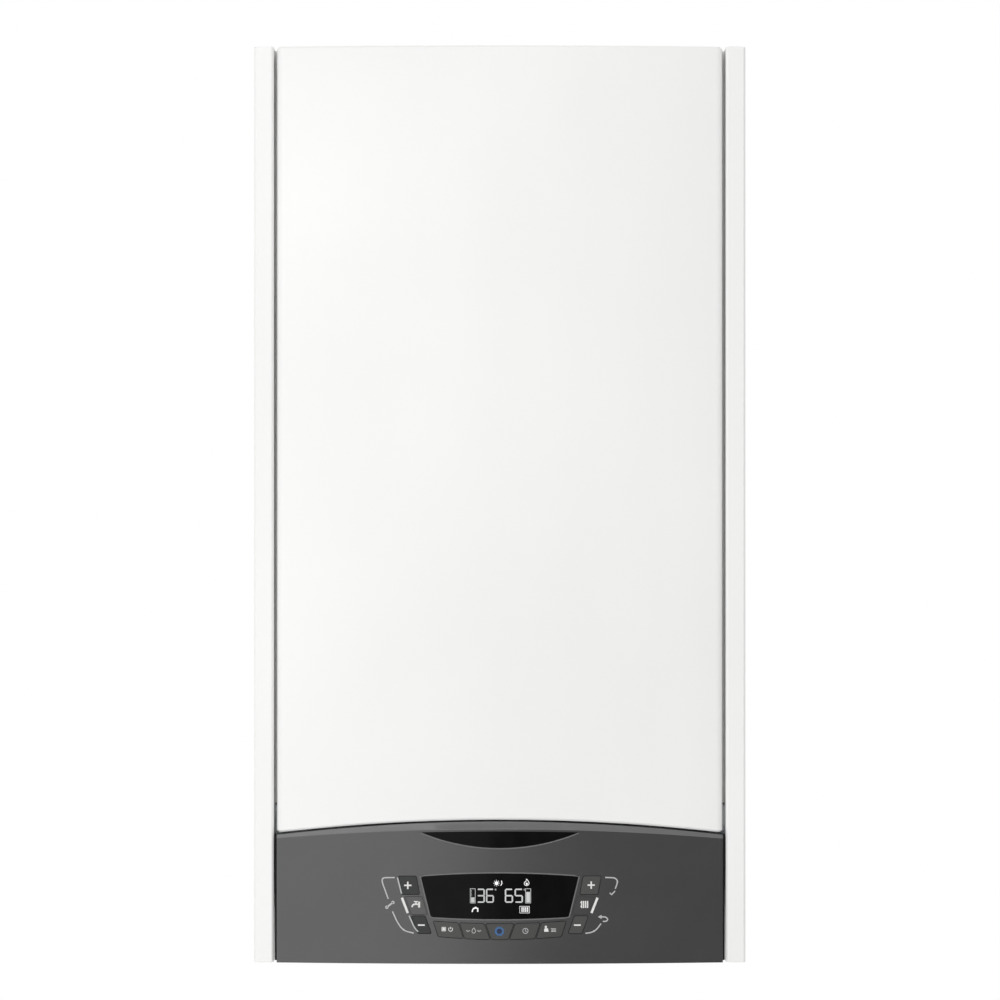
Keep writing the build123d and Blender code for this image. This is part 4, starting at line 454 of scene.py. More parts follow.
def smooth_over(node):
    """Shades a piece of the frame as round but for its folds."""
    item = NODES[node]
    weld = item.modifiers.new("Joined", "WELD")
    weld.merge_threshold = WELD
    item.modifiers.new("Folds", "NODES").node_group = fold_finder()
    even = item.modifiers.new("Even shading", "WEIGHTED_NORMAL")
    even.keep_sharp = True


# New pieces

def placed(name, data):
    """New object of the scene that shows the data."""
    item = bpy.data.objects.new(name, data)
    bpy.context.scene.collection.objects.link(item)
    return item


def modelled(name, mesh, material):
    """Turns mesh work into an object."""
    data = bpy.data.meshes.new(name)
    mesh.to_mesh(data)
    mesh.free()
    data.materials.append(material)
    return placed(name, data)


def piece(name, mesh, material, body):
    """Turns mesh work into a named piece that rides on a body."""
    bmesh.ops.recalc_face_normals(mesh, faces=mesh.faces)
    item = modelled(name, mesh, material)
    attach(item, body)
    return item


def front_y(x):
    """Y in mm of the crowned front at a place across it."""
    return FRONT_Y * 1000 + CROWN_R_MM - math.sqrt(CROWN_R_MM ** 2 - x ** 2)


def point(x, y, height):
    """Point of the frame, from mm across, in depth and above the casing's lower edge."""
    return x / 1000, y / 1000, BASE_Z + height / 1000


def on_front(x, height, sink):
    """Point a depth in mm behind the crowned front."""
    return point(x, front_y(x) + sink, height)


def arch(x):
    """Height of the fascia's arched upper edge."""
    return ARCH_MM - x ** 2 / (2 * ARCH_R_MM)


def ribbon(points, width):
    """Even strip along a line of points, as four-sided fields."""
    line = [Vector(place) for place in points]
    legs = [(after - before).normalized() for before, after in zip(line, line[1:])]
    sides = []
    for here, way_in, way_out in zip(line, legs[:1] + legs, legs + legs[-1:]):
        way = (way_in + way_out).normalized()
        across = Vector((-way.y, way.x))
        reach = width / 2 / max(0.5, across.dot(Vector((-way_in.y, way_in.x))))
        sides.append((here + across * reach, here - across * reach))
    return [(a[0], b[0], b[1], a[1]) for a, b in zip(sides, sides[1:])]


def rounded(points, radius, steps=6):
    """The same line with its inner corners turned into arcs."""
    line = [Vector(place) for place in points]
    smooth = line[:1]
    for before, here, after in zip(line, line[1:], line[2:]):
        cut = min(radius, (before - here).length / 2, (after - here).length / 2)
        first = here + (before - here).normalized() * cut
        last = here + (after - here).normalized() * cut
        for step in range(steps + 1):
            t = step / steps
            smooth.append(first * (1 - t) ** 2 + here * 2 * t * (1 - t) + last * t ** 2)
    return smooth + line[-1:]


def arc(x, height, radius, start, end, steps):
    """Points on part of a circle, with angles in degrees from the right, anticlockwise."""
    turns = [math.radians(start + (end - start) * step / steps) for step in range(steps + 1)]
    return [(x + radius * math.cos(turn), height + radius * math.sin(turn)) for turn in turns]


def spot(x, height, radius, steps):
    """Filled circle, as one field."""
    return [arc(x, height, radius, 0, 360 * (steps - 1) / steps, steps - 1)]


def outline(x0, x1, low, high):
    """Closed line round an upright rectangle."""
    return [(x0, low), (x1, low), (x1, high), (x0, high), (x0, low)]


def bar(x0, x1, low, high):
    """Filled rectangle, as one field."""
    return [outline(x0, x1, low, high)[:4]]


def printed(name, fields, sink, material, body):
    """Thin layer in the shape of the fields, a depth in mm behind the crowned front."""
    mesh = bmesh.new()
    for field in fields:
        mesh.faces.new([mesh.verts.new(on_front(x, height, sink - INK_MM)) for x, height in field])
    bmesh.ops.remove_doubles(mesh, verts=mesh.verts, dist=CORNER_JOIN)
    bmesh.ops.recalc_face_normals(mesh, faces=mesh.faces)
    for face in mesh.faces:
        if face.normal.y > 0:
            face.normal_flip()
    layer = bmesh.ops.extrude_face_region(mesh, geom=list(mesh.faces))
    moved = [item for item in layer["geom"] if isinstance(item, bmesh.types.BMVert)]
    bmesh.ops.translate(mesh, verts=moved, vec=(0, INK_MM / 1000, 0))
    piece(name, mesh, material, body)


def edge_strip(name, way, material):
    """Black strip of one section all the way up the gap beside the fascia, as painted shade in it."""
    section = [(way * (FASCIA_HALF_MM + x), STRIP_Y_MM + y) for x, y in STRIP]
    mesh = bmesh.new()
    for height in (STRIP_LOW_MM, STRIP_HIGH_MM):
        mesh.faces.new([mesh.verts.new(point(x, y, height)) for x, y in section])
    bmesh.ops.bridge_loops(mesh, edges=mesh.edges[:])
    item = piece(name, mesh, material, "control_panel")
    bevel = item.modifiers.new("Edge radius", "BEVEL")
    bevel.width = STRIP_EDGE_MM / 1000
    bevel.segments = 2


def loft(name, rows, material, fold, ring=False):
    """Piece of the control panel whose like rows of points are joined face by face.

    It is closed to a ring or capped at both ends, and looks round but for folds over an angle.
    """
    mesh = bmesh.new()
    rows = [[mesh.verts.new(point) for point in row] for row in rows]
    pairs = list(zip(rows, rows[1:]))
    if ring:
        pairs.append((rows[-1], rows[0]))
    else:
        mesh.faces.new(rows[0])
        mesh.faces.new(rows[-1])
    for first, second in pairs:
        for step in range(len(first)):
            after = (step + 1) % len(first)
            mesh.faces.new((first[step], first[after], second[after], second[step]))
    for face in mesh.faces:
        face.smooth = True
    item = piece(name, mesh, material, "control_panel")
    item.data.set_sharp_from_angle(angle=math.radians(fold))


def squared_edge(name, way, material):
    """Carries the crowned front out over its rounded side edge to a crisp corner."""
    side = FASCIA_HALF_MM
    section = [(side - inset, front_y(side - inset) - EDGE_PROUD_MM) for inset in EDGE_INSETS_MM]
    corner = section[-1][1]
    # The corner itself keeps a radius of about 0.4 mm
    section += [(side - 0.2, corner + 0.15), (side, corner + 0.6)]
    section += [(side - inset, y) for inset, y in EDGE_BACK_MM]
    low = [point(way * x, y, 0.0) for x, y in section]
    high = [point(way * x, y, arch(x) - EDGE_SHORT_MM) for x, y in section]
    loft(name, (low, high), material, fold=30.0)


# Settings

class CasingSettings(PropertyGroup):
    """Colour and edges of the sheet-steel casing."""
    coat: FloatVectorProperty(name="Powder coat", description="Colour of the casing and cover",
                              subtype="COLOR", size=3, min=0.0, max=1.0,
                              default=linear("#F2F2F1")[:3])
    edge_mm: FloatProperty(name="Edge radius (mm)", description="Radius on the folded edges",
                           default=0.5, min=0.0, max=2.0)


class PanelSettings(PropertyGroup):
    """Colour, display and printing of the control panel."""
    grey: FloatVectorProperty(name="Fascia", description="Colour of the moulded fascia",
                              subtype="COLOR", size=3, min=0.0, max=1.0,
                              default=linear("#444444")[:3])
    glow: FloatProperty(name="Display glow", description="Strength of the light in the display",
                        default=0.22, min=0.0, max=3.0)
    line_mm: FloatProperty(name="Printed line (mm)", description="Width of the printed lines",
                           default=1.0, min=0.2, max=3.0)


class StageSettings(PropertyGroup):
    """Floor, camera and lights."""
    floor_drop: FloatProperty(name="Floor below casing", description="Height the casing hangs at",
                              default=0.4, min=0.0, unit="LENGTH")
    lens_mm: FloatProperty(name="Lens (mm)", description="Focal length of the camera",
                           default=100.0, min=20.0, max=300.0)
    ambient: FloatProperty(name="Room light", description="Light from all round",
                           default=0.56, min=0.0, max=2.0)
    key: FloatProperty(name="Softbox", description="Brightness of the large softbox in front",
                       default=1.7, min=0.0, max=10.0)


# Operators

class BOILER_OT_finish_casing(Operator):
    """Coats the panels, plates and cover"""
    bl_idname = "boiler.finish_casing"
    bl_label = "Casing and cover"

    def execute(self, context):
        casing = context.scene.boiler_casing
        white = powder_coat("Powder coat, white", shade(casing.coat), shade(casing.coat, 0.972))
        for node in ("front_cover", "side_panel_left", "side_panel_right", "top_plate"):
            finish(node, white)
        zinc = spangled_zinc("Galvanised sheet")
        for node in ("back_plate", "bottom_plate", "cross_rail", "mounting_plate"):
            finish(node, zinc)
        finish("casing_screws", bright_zinc("Zinc-plated screws"))
        finish("cover_lining", fibre_mat("Foil-faced fibre mat"))
        for node in ("side_panel_left", "side_panel_right", "front_cover"):
            round_edges(node, casing.edge_mm)
        return {"FINISHED"}


class BOILER_OT_finish_panel(Operator):
    """Gives the control panel, its window and its keys their plastics"""
    bl_idname = "boiler.finish_panel"
    bl_label = "Control panel"

    def execute(self, context):
        colour = context.scene.boiler_panel.grey
        grey = moulded_plastic("ABS, spark-eroded grey", shade(colour), shade(colour, 0.915),
                               0.2, 0.5, 0.05)
        # The + and − keys are all one grey plastic: the left pair is given a darker grey as painted
        # shade, and the right pair a paler grey as painted sheen
        deep = moulded_plastic("ABS keys, painted shade", "#393A3A", "#363737", 0.45, 0.4, 0.05, 0.2)
        pale = moulded_plastic("ABS keys, painted sheen", "#4D4D4C", "#494948", 0.45, 0.4, 0.05, 0.2)
        small = moulded_plastic("ABS, pale grey keys", "#444443", "#41413F", 0.3, 0.4, 0.05, 0.4)
        finish("control_fascia", grey)
        for nodes, material in ((LEFT_KEYS, deep), (RIGHT_KEYS, pale), (ROW_KEYS, small)):
            for node in nodes:
                finish(node, material)
        squared_edge("fascia_edge_left", -1, grey)
        squared_edge("fascia_edge_right", 1, grey)
        pane = polished_pane("Polycarbonate pane, black", "#0D0D0E")
        finish("display_window", pane)
        finish("badge_insert", pane)
        finish("control_housing", moulded_plastic("Polyamide box, black", "#1E1F20", "#18191A",
                                                  0.5, 0.7, 0.2))
        finish("control_board", solder_mask("Circuit board, green mask"))
        return {"FINISHED"}


def seven_segments(number, x0, x1, low, high, width):
    """Bars of a figure in a box: a is the top one, b to f follow clockwise, g is the middle."""
    middle = (low + high) / 2
    half = width / 2
    cut = width * DIGIT_GAP
    left, right, under, over = x0 + half, x1 - half, low + half, high - half
    strokes = {
        "a": ((left + cut, over), (right - cut, over)),
        "b": ((right, middle + cut), (right, over - cut)),
        "c": ((right, under + cut), (right, middle - cut)),
        "d": ((left + cut, under), (right - cut, under)),
        "e": ((left, under + cut), (left, middle - cut)),
        "f": ((left, middle + cut), (left, over - cut)),
        "g": ((left + cut, middle), (right - cut, middle)),
    }
    fields = []
    for stroke in {3: "abgcd", 5: "afgcd", 6: "afgecd"}[number]:
        start, end = map(Vector, strokes[stroke])
        way = (end - start).normalized() * half * POINTED
        across = Vector((-way.y, way.x)) / POINTED
        fields.append((start - way, start + across, end + across, end + way, end - across,
                       start - across))
    return fields


class BOILER_OT_light_display(Operator):
    """Figures, gauges and pictograms of the display"""
    bl_idname = "boiler.light_display"
    bl_label = "Display"

    def execute(self, context):
        glow = context.scene.boiler_panel.glow
        figures = []
        for number, x0, x1 in DIGITS:
            figures += seven_segments(number, x0, x1, DIGIT_LOW_MM, DIGIT_HIGH_MM, STROKE_MM)
        for x, height in DEGREES_AT:
            figures += ribbon(arc(x, height, 0.45, 0, 360, 12), 0.3)
        gauges = []
        # Bars of the two gauges, filled to different heights
        for x0, x1, top in ((-23.9, -19.9, 53.9), (20.9, 25.1, 58.3)):
            gauges += ribbon(outline(x0, x1, 49.3, 60.9), 0.4)
            gauges += bar(x0 + 0.55, x1 - 0.55, 49.8, top)
        for step in range(5):
            high = 54.9 + step * 1.1
            gauges += bar(-23.3, -22.6, high, high + 0.4)
        icons = self.tap() + self.radiator() + self.flame() + self.sun()
        segment = lit_segments("Liquid crystal, lit", "#BCBEBD", glow)
        bright = lit_segments("Liquid crystal, bright", "#EDEEED", glow * 1.6)
        for name, fields, light in (("display_figures", figures, segment),
                                    ("display_gauges", gauges, segment),
                                    ("display_icons", icons, bright)):
            printed(name, fields, GLASS_SINK_MM, light, "control_panel")
        return {"FINISHED"}

    def tap(self):
        spout = rounded([(-22.4, 42.0), (-21.9, 44.3), (-20.6, 45.2), (-17.6, 45.0)], 1.2)
        return ribbon(spout, 1.0) + bar(-18.4, -17.3, 42.2, 45.4) + bar(-20.4, -18.8, 45.6, 46.2)

    def radiator(self):
        fields = ribbon(outline(16.2, 24.0, 41.2, 46.6), 0.35)
        for place in range(4):
            x = 17.6 + place * 1.5
            fields += bar(x, x + 0.95, 42.0, 45.9)
        return fields

    def flame(self):
        drop = [(21.8, 68.8), (23.2, 67.0), (23.9, 65.3), (23.2, 63.9), (21.8, 63.3), (20.3, 63.9),
                (19.7, 65.3), (20.4, 66.6), (21.0, 66.2)]
        return ribbon(rounded(drop + drop[:1], 0.6, 3), 0.5) + spot(21.9, 64.9, 0.9, 12)

    def sun(self):
        fields = spot(-2.6, 65.4, 1.5, 14)
        for ray in zip(arc(-2.6, 65.4, 1.9, 0, 315, 7), arc(-2.6, 65.4, 2.6, 0, 315, 7)):
            fields += ribbon(ray, 0.4)
        return fields + ribbon(rounded([(0.8, 63.4), (1.9, 65.4), (1.4, 67.4)], 0.9, 4), 0.6)


class BOILER_OT_print_symbols(Operator):
    """Printed lines and pictograms on the panel and the keys"""
    bl_idname = "boiler.print_symbols"
    bl_label = "Printed symbols"

    def execute(self, context):
        line = context.scene.boiler_panel.line_mm
        white = screen_ink("Screen ink, white", "#E4E4E2", "#D2D2D0")
        grey = screen_ink("Screen ink, pale grey", "#BEBFBF", "#ABACAD")
        blue = screen_ink("Screen ink, blue", "#3F6EA5", "#2F5686")
        dark = screen_ink("Screen ink, dark grey", "#2C2D2E", "#262728")
        navy = screen_ink("Screen ink, dark blue", "#152A48", "#11233C")
        for name, fields, ink in (
            ("panel_brackets", self.brackets(line), grey),
            ("panel_inner_lines", self.inner_lines(line), grey),
            ("panel_bars", self.bars(), white),
            ("panel_marks", self.marks(), grey),
            ("panel_pictograms", self.tap() + self.radiator(), white),
            ("panel_cells", self.cells(), dark),
        ):
            printed(name, fields, 0, ink, "control_panel")
        for key, sign, fields, ink in (
            ("key_water_plus", "plus", self.plus(-74.6, 63.5), white),
            ("key_heating_plus", "plus", self.plus(74.2, 63.7), white),
            ("key_water_minus", "minus", self.minus(-63.6, 31.3), white),
            ("key_heating_minus", "minus", self.minus(63.0, 31.3), white),
            ("key_power", "print", self.power(), white),
            ("key_comfort", "print", self.comfort(), grey),
            ("key_reset", "print", self.blue_ring(), blue),
            ("key_programme", "print", self.clock(), grey),
            ("key_service", "print", self.person(), white),
            ("key_reset", "disc", spot(*RESET_AT, 2.2, 24), navy),
        ):
            printed(key + "_" + sign, fields, KEY_SINK_MM, ink, key)
        return {"FINISHED"}

    def brackets(self, line):
        fields = []
        for points in (
            [(-85.2, 69.8), (-93.6, 69.7), (-95.6, 68.6), (-95.1, 65.0), (-90.4, 52.4)],
            [(-87.0, 42.3), (-83.8, 35.0), (-80.1, 29.1), (-76.4, 26.3), (-69.8, 24.8)],
            [(85.6, 69.9), (93.2, 69.6), (95.6, 67.4), (95.3, 65.0), (93.7, 60.7)],
            [(80.8, 37.9), (85.9, 37.9), (87.9, 36.1), (86.6, 34.3), (83.6, 34.2)],
            [(82.2, 32.5), (78.5, 27.6), (74.8, 25.4), (69.4, 24.6)],
        ):
            fields += ribbon(rounded(points, 2.4), line)
        return fields

    def inner_lines(self, line):
        foot = rounded([(-73.6, 38.9), (-69.2, 29.2), (-66.2, 25.9)], 2.0)
        return ribbon([(-83.0, 69.8), (-79.7, 56.8)], line) + ribbon(foot, line)

    def bars(self):
        thick = 1.9
        return (ribbon([(-79.4, 53.5), (-74.6, 41.1)], thick)
                + ribbon([(79.3, 53.5), (74.4, 41.1)], thick))

    def cells(self):
        cell = [(-74.4, 47.1), (-77.0, 54.5), (-62.9, 54.5), (-58.6, 39.8), (-71.8, 39.8), (-74.4, 47.1)]
        corners = rounded(cell, 1.0, 3)
        mirrored = [(-x, height) for x, height in corners]
        return ribbon(corners, 0.6) + ribbon(mirrored, 0.6)

    def plus(self, x, height):
        return (bar(x - 3.0, x + 3.0, height - 0.6, height + 0.6)
                + bar(x - 0.6, x + 0.6, height - 3.0, height - 0.6)
                + bar(x - 0.6, x + 0.6, height + 0.6, height + 3.0))

    def minus(self, x, height):
        return bar(x - 2.8, x + 2.8, height - 0.6, height + 0.6)

    def marks(self):
        """Wrench, tick and arrow head."""
        fields = ribbon([(-91.0, 46.2), (-87.3, 49.1)], 1.3)
        fields += ribbon(arc(-91.6, 45.7, 0.9, 80, 360, 12), 0.9)
        fields += ribbon(arc(-86.7, 49.6, 0.9, -100, 170, 12), 0.9)
        fields += ribbon([(89.2, 57.3), (90.8, 55.9), (93.6, 58.9)], 0.9)
        return fields + [((79.6, 37.9), (82.6, 36.2), (82.6, 39.6))]

    def tap(self):
        spout = rounded([(-71.2, 45.9), (-70.6, 47.7), (-69.2, 48.3), (-65.8, 48.2)], 1.4)
        return (ribbon(spout, 1.2) + bar(-66.2, -64.6, 45.6, 50.4) + bar(-68.4, -67.4, 48.8, 50.0)
                + bar(-69.6, -66.4, 50.0, 50.8))

    def radiator(self):
        fields = []
        for place in range(4):
            x = 65.9 + place * 1.6
            fields += bar(x, x + 1.05, 45.2, 50.9)
        return fields + bar(65.2, 65.9, 46.2, 46.8) + bar(65.2, 65.9, 49.4, 50.0)

    def power(self):
        fields = ribbon(rounded(outline(-46.9, -43.9, 26.6, 29.6), 0.4, 2), 0.5)
        fields += bar(-46.4, -44.4, 27.1, 29.1)
        fields += ribbon(arc(-39.9, 28.0, 1.6, 125, 415, 20), 0.5)
        return fields + bar(-40.15, -39.65, 28.2, 30.1)

    def comfort(self):
        drop = [(-21.1, 29.3), (-19.7, 27.2), (-19.7, 25.6), (-21.1, 24.7), (-22.5, 25.6),
                (-22.5, 27.2), (-21.1, 29.3)]
        fields = ribbon(rounded(drop, 0.7, 4), 0.5)
        for x0 in (-27.2, -18.2):
            wave = [(x0 + step * 0.5, 26.6 + 0.5 * math.sin(step * 1.6)) for step in range(7)]
            fields += ribbon(wave, 0.45)
        return fields

    def blue_ring(self):
        fields = ribbon(arc(*RESET_AT, 2.9, 0, 360, 40), 1.25)
        for x, height in arc(*RESET_AT, 3.6, 22.5, 337.5, 7):
            fields += spot(x, height, 0.5, 8)
        return fields

    def clock(self):
        fields = ribbon(arc(20.8, 26.7, 2.1, 0, 360, 28), 0.5)
        return fields + ribbon([(20.8, 28.1), (20.8, 26.6), (21.9, 26.0)], 0.45)

    def person(self):
        fields = spot(37.4, 30.0, 0.95, 12)
        fields.append(((36.0, 26.0), (39.6, 26.0), (39.2, 28.4), (38.2, 29.0), (36.9, 29.0),
                       (36.0, 28.2)))
        for row in range(3):
            height = 26.2 + row * 1.1
            wave = [(41.6 + step * 0.5, height + 0.25 * math.sin(step * 1.7)) for step in range(9)]
            fields += ribbon(wave, 0.35)
        return fields


class BOILER_OT_add_panel_rims(Operator):
    """Rim of the window, lip of the finger recess, upper band and black edge strips of painted shade"""
    bl_idname = "boiler.add_panel_rims"
    bl_label = "Panel rims"

    def execute(self, context):
        # The rim grey is paler than the fascia as painted highlight, where the window's rim, the
        # recess's lip and the upper band catch the light
        rim = moulded_plastic("ABS rim, painted highlight grey", "#6C6C6C", "#666666", 0.3, 0.6, 0.04)
        window = self.bow(WINDOW_HEAD) + self.bow(WINDOW_FOOT)[::-1]
        grown = [corner + self.left_of(window, place, True) * RIM_MM / 2
                 for place, corner in enumerate(window)]
        self.bead("window_rim", grown, rim, width=RIM_MM, proud=0.3, ring=True)
        self.bead("insert_lip", self.bow(RECESS_FOOT), rim, width=0.9, proud=0.25)
        self.band(rim)
        # The strips in the gaps beside the fascia are painted shade, given the black rubber finish
        rubber = seal_rubber("Gap strip, painted shade")
        edge_strip("panel_edge_strip_left", -1, rubber)
        edge_strip("panel_edge_strip_right", 1, rubber)
        return {"FINISHED"}

    def across(self, half, steps):
        """Even places from side to side."""
        return [half * (2 * step / steps - 1) for step in range(steps + 1)]

    def bow(self, edge, steps=32):
        """Points on an arc through (-half, height), (0, height + rise) and (half, height)."""
        half, height, rise = edge
        radius = (half ** 2 + rise ** 2) / (2 * abs(rise))
        line = []
        for x in self.across(half, steps):
            sag = radius - math.sqrt(radius ** 2 - x ** 2)
            line.append(Vector((x, height + rise - math.copysign(sag, rise))))
        return line

    def left_of(self, line, place, ring):
        """Direction to the left of a line of points, at one of them."""
        before = line[place - 1 if ring or place else 0]
        after = line[(place + 1) % len(line) if ring or place < len(line) - 1 else place]
        way = (after - before).normalized()
        return Vector((-way.y, way.x))

    def bead(self, name, line, material, width, proud, ring=False):
        """Half-round bead that stands on the crowned front."""
        rows = []
        for place, middle in enumerate(line):
            out = self.left_of(line, place, ring) * width
            edges = [(middle + out * side, lift * proud) for side, lift in BEAD]
            rows.append([on_front(edge.x, edge.y, sink) for edge, sink in edges])
        loft(name, rows, material, fold=60.0, ring=ring)

    def band(self, material):
        """Moulded step along the arched upper edge, over the slope of the fascia; its pale grey is
        painted highlight.
        """
        rows = []
        half = FASCIA_HALF_MM - 0.2
        for x in self.across(half, 60):
            high = arch(x) - 0.2
            low = high - BAND_MM - BAND_SWELL_MM * (1 - (x / half) ** 2)
            fold = FOLD_MM - x ** 2 / (2 * FOLD_R_MM) + SLOPE * x ** 2 / (2 * CROWN_R_MM)
            bend = min(max(fold, low + 0.9), high - 0.1)
            section = ((high, 0.03), (bend, 0.14), (low + 0.8, 0.2), (low + 0.3, 0.2), (low, 0.0),
                       (low, -0.4), (high, -0.4))
            rows.append([on_front(x, height, max(0.0, (height - fold) / SLOPE) - proud)
                         for height, proud in section])
        loft("fascia_band", rows, material, fold=40.0)


class BOILER_OT_finish_works(Operator):
    """Metals and plastics of everything inside the casing"""
    bl_idname = "boiler.finish_works"
    bl_label = "Works"

    def execute(self, context):
        casting = cast_aluminium("Die-cast aluminium", "#B0B1B0", "#989A9B")
        motor = cast_aluminium("Cast motor can, black coat", "#2A2B2C", "#1B1C1D")
        copper = drawn_copper("Drawn copper")
        brass = machined_brass("Turned brass")
        composite = filled_polyamide("Glass-filled polyamide")
        drum = brushed_stainless("Stainless drum, brushed", 1)
        plates = brushed_stainless("Stainless plates, brushed", 0)
        rubber = seal_rubber("EPDM rubber")
        white = moulded_plastic("Polypropylene, white", "#E6E6E2", "#DEDEDA", 0.4, 0.8, 0.1)
        black = moulded_plastic("Polypropylene, black", "#202122", "#191A1B", 0.45, 0.8, 0.2)
        bolts = bright_zinc("Zinc-plated nuts")
        enamel = stove_enamel("Stove enamel, red", "#A3231B", "#8C1C16")
        ceramic = moulded_plastic("Alumina ceramic", "#EDEAE2", "#E2DED4", 0.3, 0.5, 0.05)
        red = moulded_plastic("Nylon knob, red", "#B3201C", "#9E1A17", 0.35, 0.6, 0.1)
        blue = moulded_plastic("Nylon knob, blue", "#1F4C9A", "#1A4288", 0.35, 0.6, 0.1)
        for material, nodes in (
            (white, ("flue_adapter", "flue_pipe", "diverter_motor", "condensate_trap")),
            (rubber, ("vessel_hose", "condensate_hose")),
            (enamel, ("expansion_vessel",)),
            (drum, ("heat_exchanger",)),
            (casting, ("burner_door", "fan_housing", "fan_impeller", "venturi", "gas_valve")),
            (bolts, ("door_nuts",)),
            (ceramic, ("electrodes",)),
            (motor, ("fan_motor", "pump_motor")),
            (black, ("air_silencer", "air_vent_cap", "sensors")),
            (copper, ("gas_pipe", "gas_feed", "flow_pipe", "return_pipe")),
            (composite, ("flow_block", "return_block", "pump_impeller")),
            (plates, ("plate_exchanger",)),
            (brass, ("diverter_spindle", "safety_valve", "air_vent", "pipe_tails")),
            (red, ("safety_knob",)),
            (blue, ("filling_knob",)),
        ):
            for node in nodes:
                finish(node, material)
                smooth_over(node)
        return {"FINISHED"}


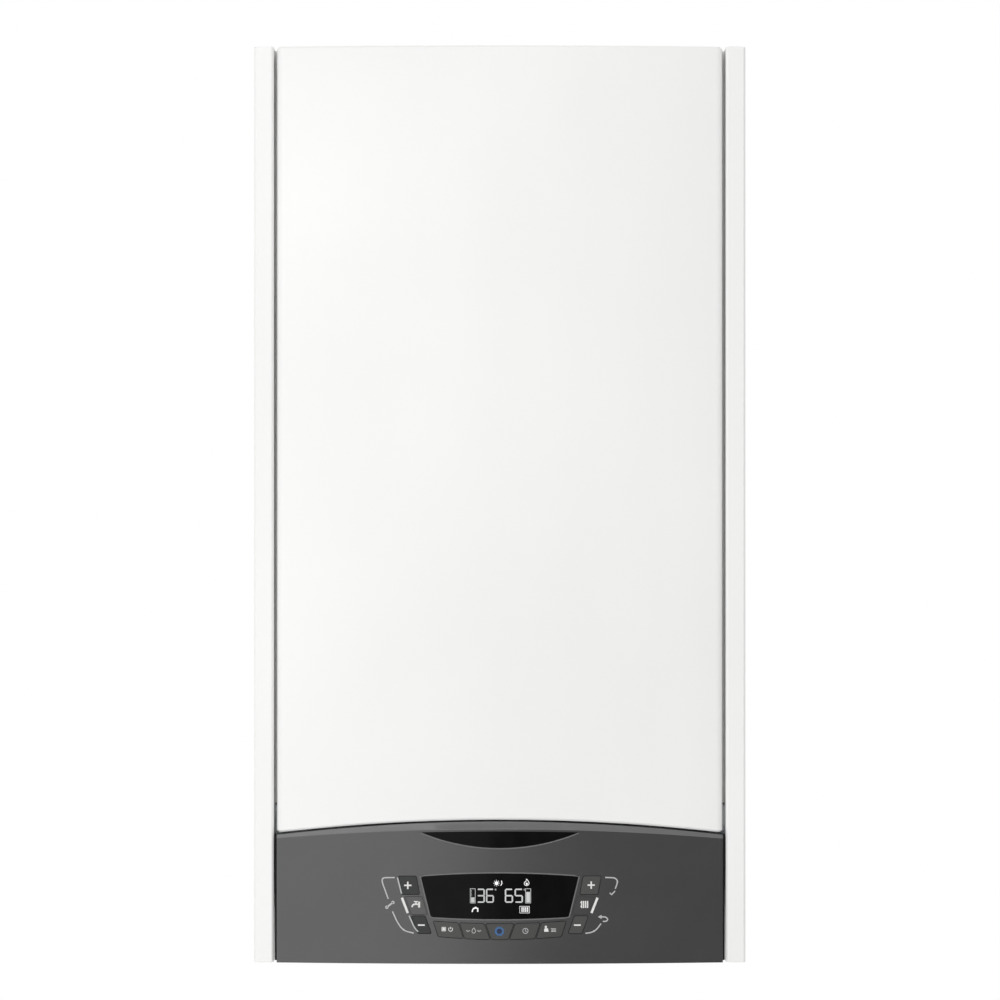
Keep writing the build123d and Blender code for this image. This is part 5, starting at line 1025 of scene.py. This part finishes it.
class BOILER_OT_set_stage(Operator):
    """Floor, lights, surroundings and camera"""
    bl_idname = "boiler.set_stage"
    bl_label = "Stage"

    def execute(self, context):
        settings = context.scene.boiler_stage
        self.floor(settings)
        self.surroundings(settings)
        self.softbox("Softbox front", FRONT_SOFTBOX, AHEAD, 2.6, 3.4, settings.key)
        for name, place, width, height, brightness in SOFTBOXES:
            self.softbox(name, place, MIDDLE, width, height, brightness)
        self.camera(settings)
        context.scene.view_settings.view_transform = "Standard"
        return {"FINISHED"}

    def floor(self, settings):
        # Matt painted floor, in patches of 17 mm: keeps the soft shadow near the boiler and fades
        # to white further out
        material, tree, shader, place = surface("Matt floor paint, white", {"Roughness": 0.9})
        grain = add(tree, NOISE, {"Scale": 60.0, "Detail": 3.0}, {"Vector": place})
        lead(shader, (grain.outputs["Fac"], [(0.3, "#F1F1F0"), (0.7, "#F5F5F4")]))
        length = add(tree, "ShaderNodeVectorMath", {".operation": "LENGTH"}, {0: place})
        fade = add(tree, "ShaderNodeMapRange", {"From Min": FADE_FROM, "From Max": FADE_TO,
                                                ".interpolation_type": "SMOOTHSTEP"},
                   {"Value": length.outputs["Value"]})
        seen = add(tree, "ShaderNodeLightPath")
        factor = add(tree, "ShaderNodeMath", {".operation": "MULTIPLY"},
                     {0: fade.outputs["Result"], 1: seen.outputs["Is Camera Ray"]})
        white = add(tree, "ShaderNodeEmission", {"Strength": 1.0, "Color": (1.0, 1.0, 1.0, 1.0)})
        both = add(tree, "ShaderNodeMixShader",
                   links={0: factor.outputs[0], 1: shader.outputs["BSDF"], 2: white.outputs[0]})
        output = next(node for node in tree.nodes if node.type == "OUTPUT_MATERIAL")
        tree.links.new(both.outputs["Shader"], output.inputs["Surface"])
        mesh = bmesh.new()
        bmesh.ops.create_circle(mesh, cap_ends=True, segments=96, radius=FLOOR_RADIUS)
        floor = modelled("floor", mesh, material)
        floor.location.z = BASE_Z - settings.floor_drop

    def surroundings(self, settings):
        """White where the camera looks, a dim room in front for reflections, even light."""
        world = bpy.data.worlds.new("Studio")
        bpy.context.scene.world = world
        world.use_nodes = True
        tree = world.node_tree
        tree.nodes.clear()
        place = add(tree, "ShaderNodeTexCoord")
        axes = add(tree, "ShaderNodeSeparateXYZ", links={"Vector": place.outputs["Generated"]})
        depth = add(tree, "ShaderNodeMapRange", {"From Min": -0.75, "From Max": 0.2, "To Min": 0.08,
                                                 ".interpolation_type": "SMOOTHSTEP"},
                    {"Value": axes.outputs["Y"]})
        seen = add(tree, "ShaderNodeLightPath")
        shiny = add(tree, "ShaderNodeMath", {".operation": "MAXIMUM"},
                    {0: seen.outputs["Is Glossy Ray"], 1: seen.outputs["Is Transmission Ray"]})
        level = add(tree, "ShaderNodeMix", {2: settings.ambient},
                    {0: shiny.outputs["Value"], 3: depth.outputs["Result"]})
        final = add(tree, "ShaderNodeMix", {3: 1.0},
                    {0: seen.outputs["Is Camera Ray"], 2: level.outputs[0]})
        light = add(tree, "ShaderNodeBackground", {"Color": (1.0, 1.0, 1.0, 1.0)},
                    {"Strength": final.outputs[0]})
        add(tree, "ShaderNodeOutputWorld", links={"Surface": light.outputs["Background"]})

    def softbox(self, name, place, target, width, height, brightness):
        lamp = bpy.data.lights.new(name, "AREA")
        lamp.shape = "RECTANGLE"
        lamp.size = width
        lamp.size_y = height
        lamp.energy = brightness * math.pi * width * height
        item = placed(name, lamp)
        item.location = place
        way = Vector(target) - Vector(place)
        item.rotation_euler = way.to_track_quat("-Z", "Y").to_euler()

    def camera(self, settings):
        data = bpy.data.cameras.new("Front camera")
        data.lens = settings.lens_mm
        data.sensor_width = SENSOR_MM
        distance = VIEW_WIDTH * settings.lens_mm / SENSOR_MM
        item = placed("Front camera", data)
        item.location = Vector(VIEW_MIDDLE) - Vector((0, distance, 0))
        item.rotation_euler = (math.radians(90), 0, 0)
        bpy.context.scene.camera = item


class BOILER_PT_sidebar(Panel):
    """Steps that dress the boiler"""
    bl_idname = "BOILER_PT_sidebar"
    bl_label = "Combi boiler"
    bl_space_type = "VIEW_3D"
    bl_region_type = "UI"
    bl_category = "Boiler"

    def draw(self, context):
        scene = context.scene
        layout = self.layout
        for group in (scene.boiler_casing, scene.boiler_panel, scene.boiler_stage):
            box = layout.box()
            for name in group.__annotations__:
                box.prop(group, name)
        for step in STEPS:
            layout.operator(step.bl_idname)


GROUPS = {
    "boiler_casing": CasingSettings,
    "boiler_panel": PanelSettings,
    "boiler_stage": StageSettings,
}
STEPS = (
    BOILER_OT_finish_casing,
    BOILER_OT_finish_panel,
    BOILER_OT_light_display,
    BOILER_OT_print_symbols,
    BOILER_OT_add_panel_rims,
    BOILER_OT_finish_works,
    BOILER_OT_set_stage,
)


def register():
    for kind in (*GROUPS.values(), *STEPS, BOILER_PT_sidebar):
        bpy.utils.register_class(kind)
    for name, kind in GROUPS.items():
        setattr(bpy.types.Scene, name, PointerProperty(type=kind))


def unregister():
    for name in GROUPS:
        delattr(bpy.types.Scene, name)
    for kind in (BOILER_PT_sidebar, *reversed(STEPS), *reversed(GROUPS.values())):
        bpy.utils.unregister_class(kind)


def main():
    register()
    bpy.ops.boiler.finish_casing()
    bpy.ops.boiler.finish_panel()
    bpy.ops.boiler.light_display()
    bpy.ops.boiler.print_symbols()
    bpy.ops.boiler.add_panel_rims()
    bpy.ops.boiler.finish_works()
    bpy.ops.boiler.set_stage()


if __name__ == "__main__":
    main()
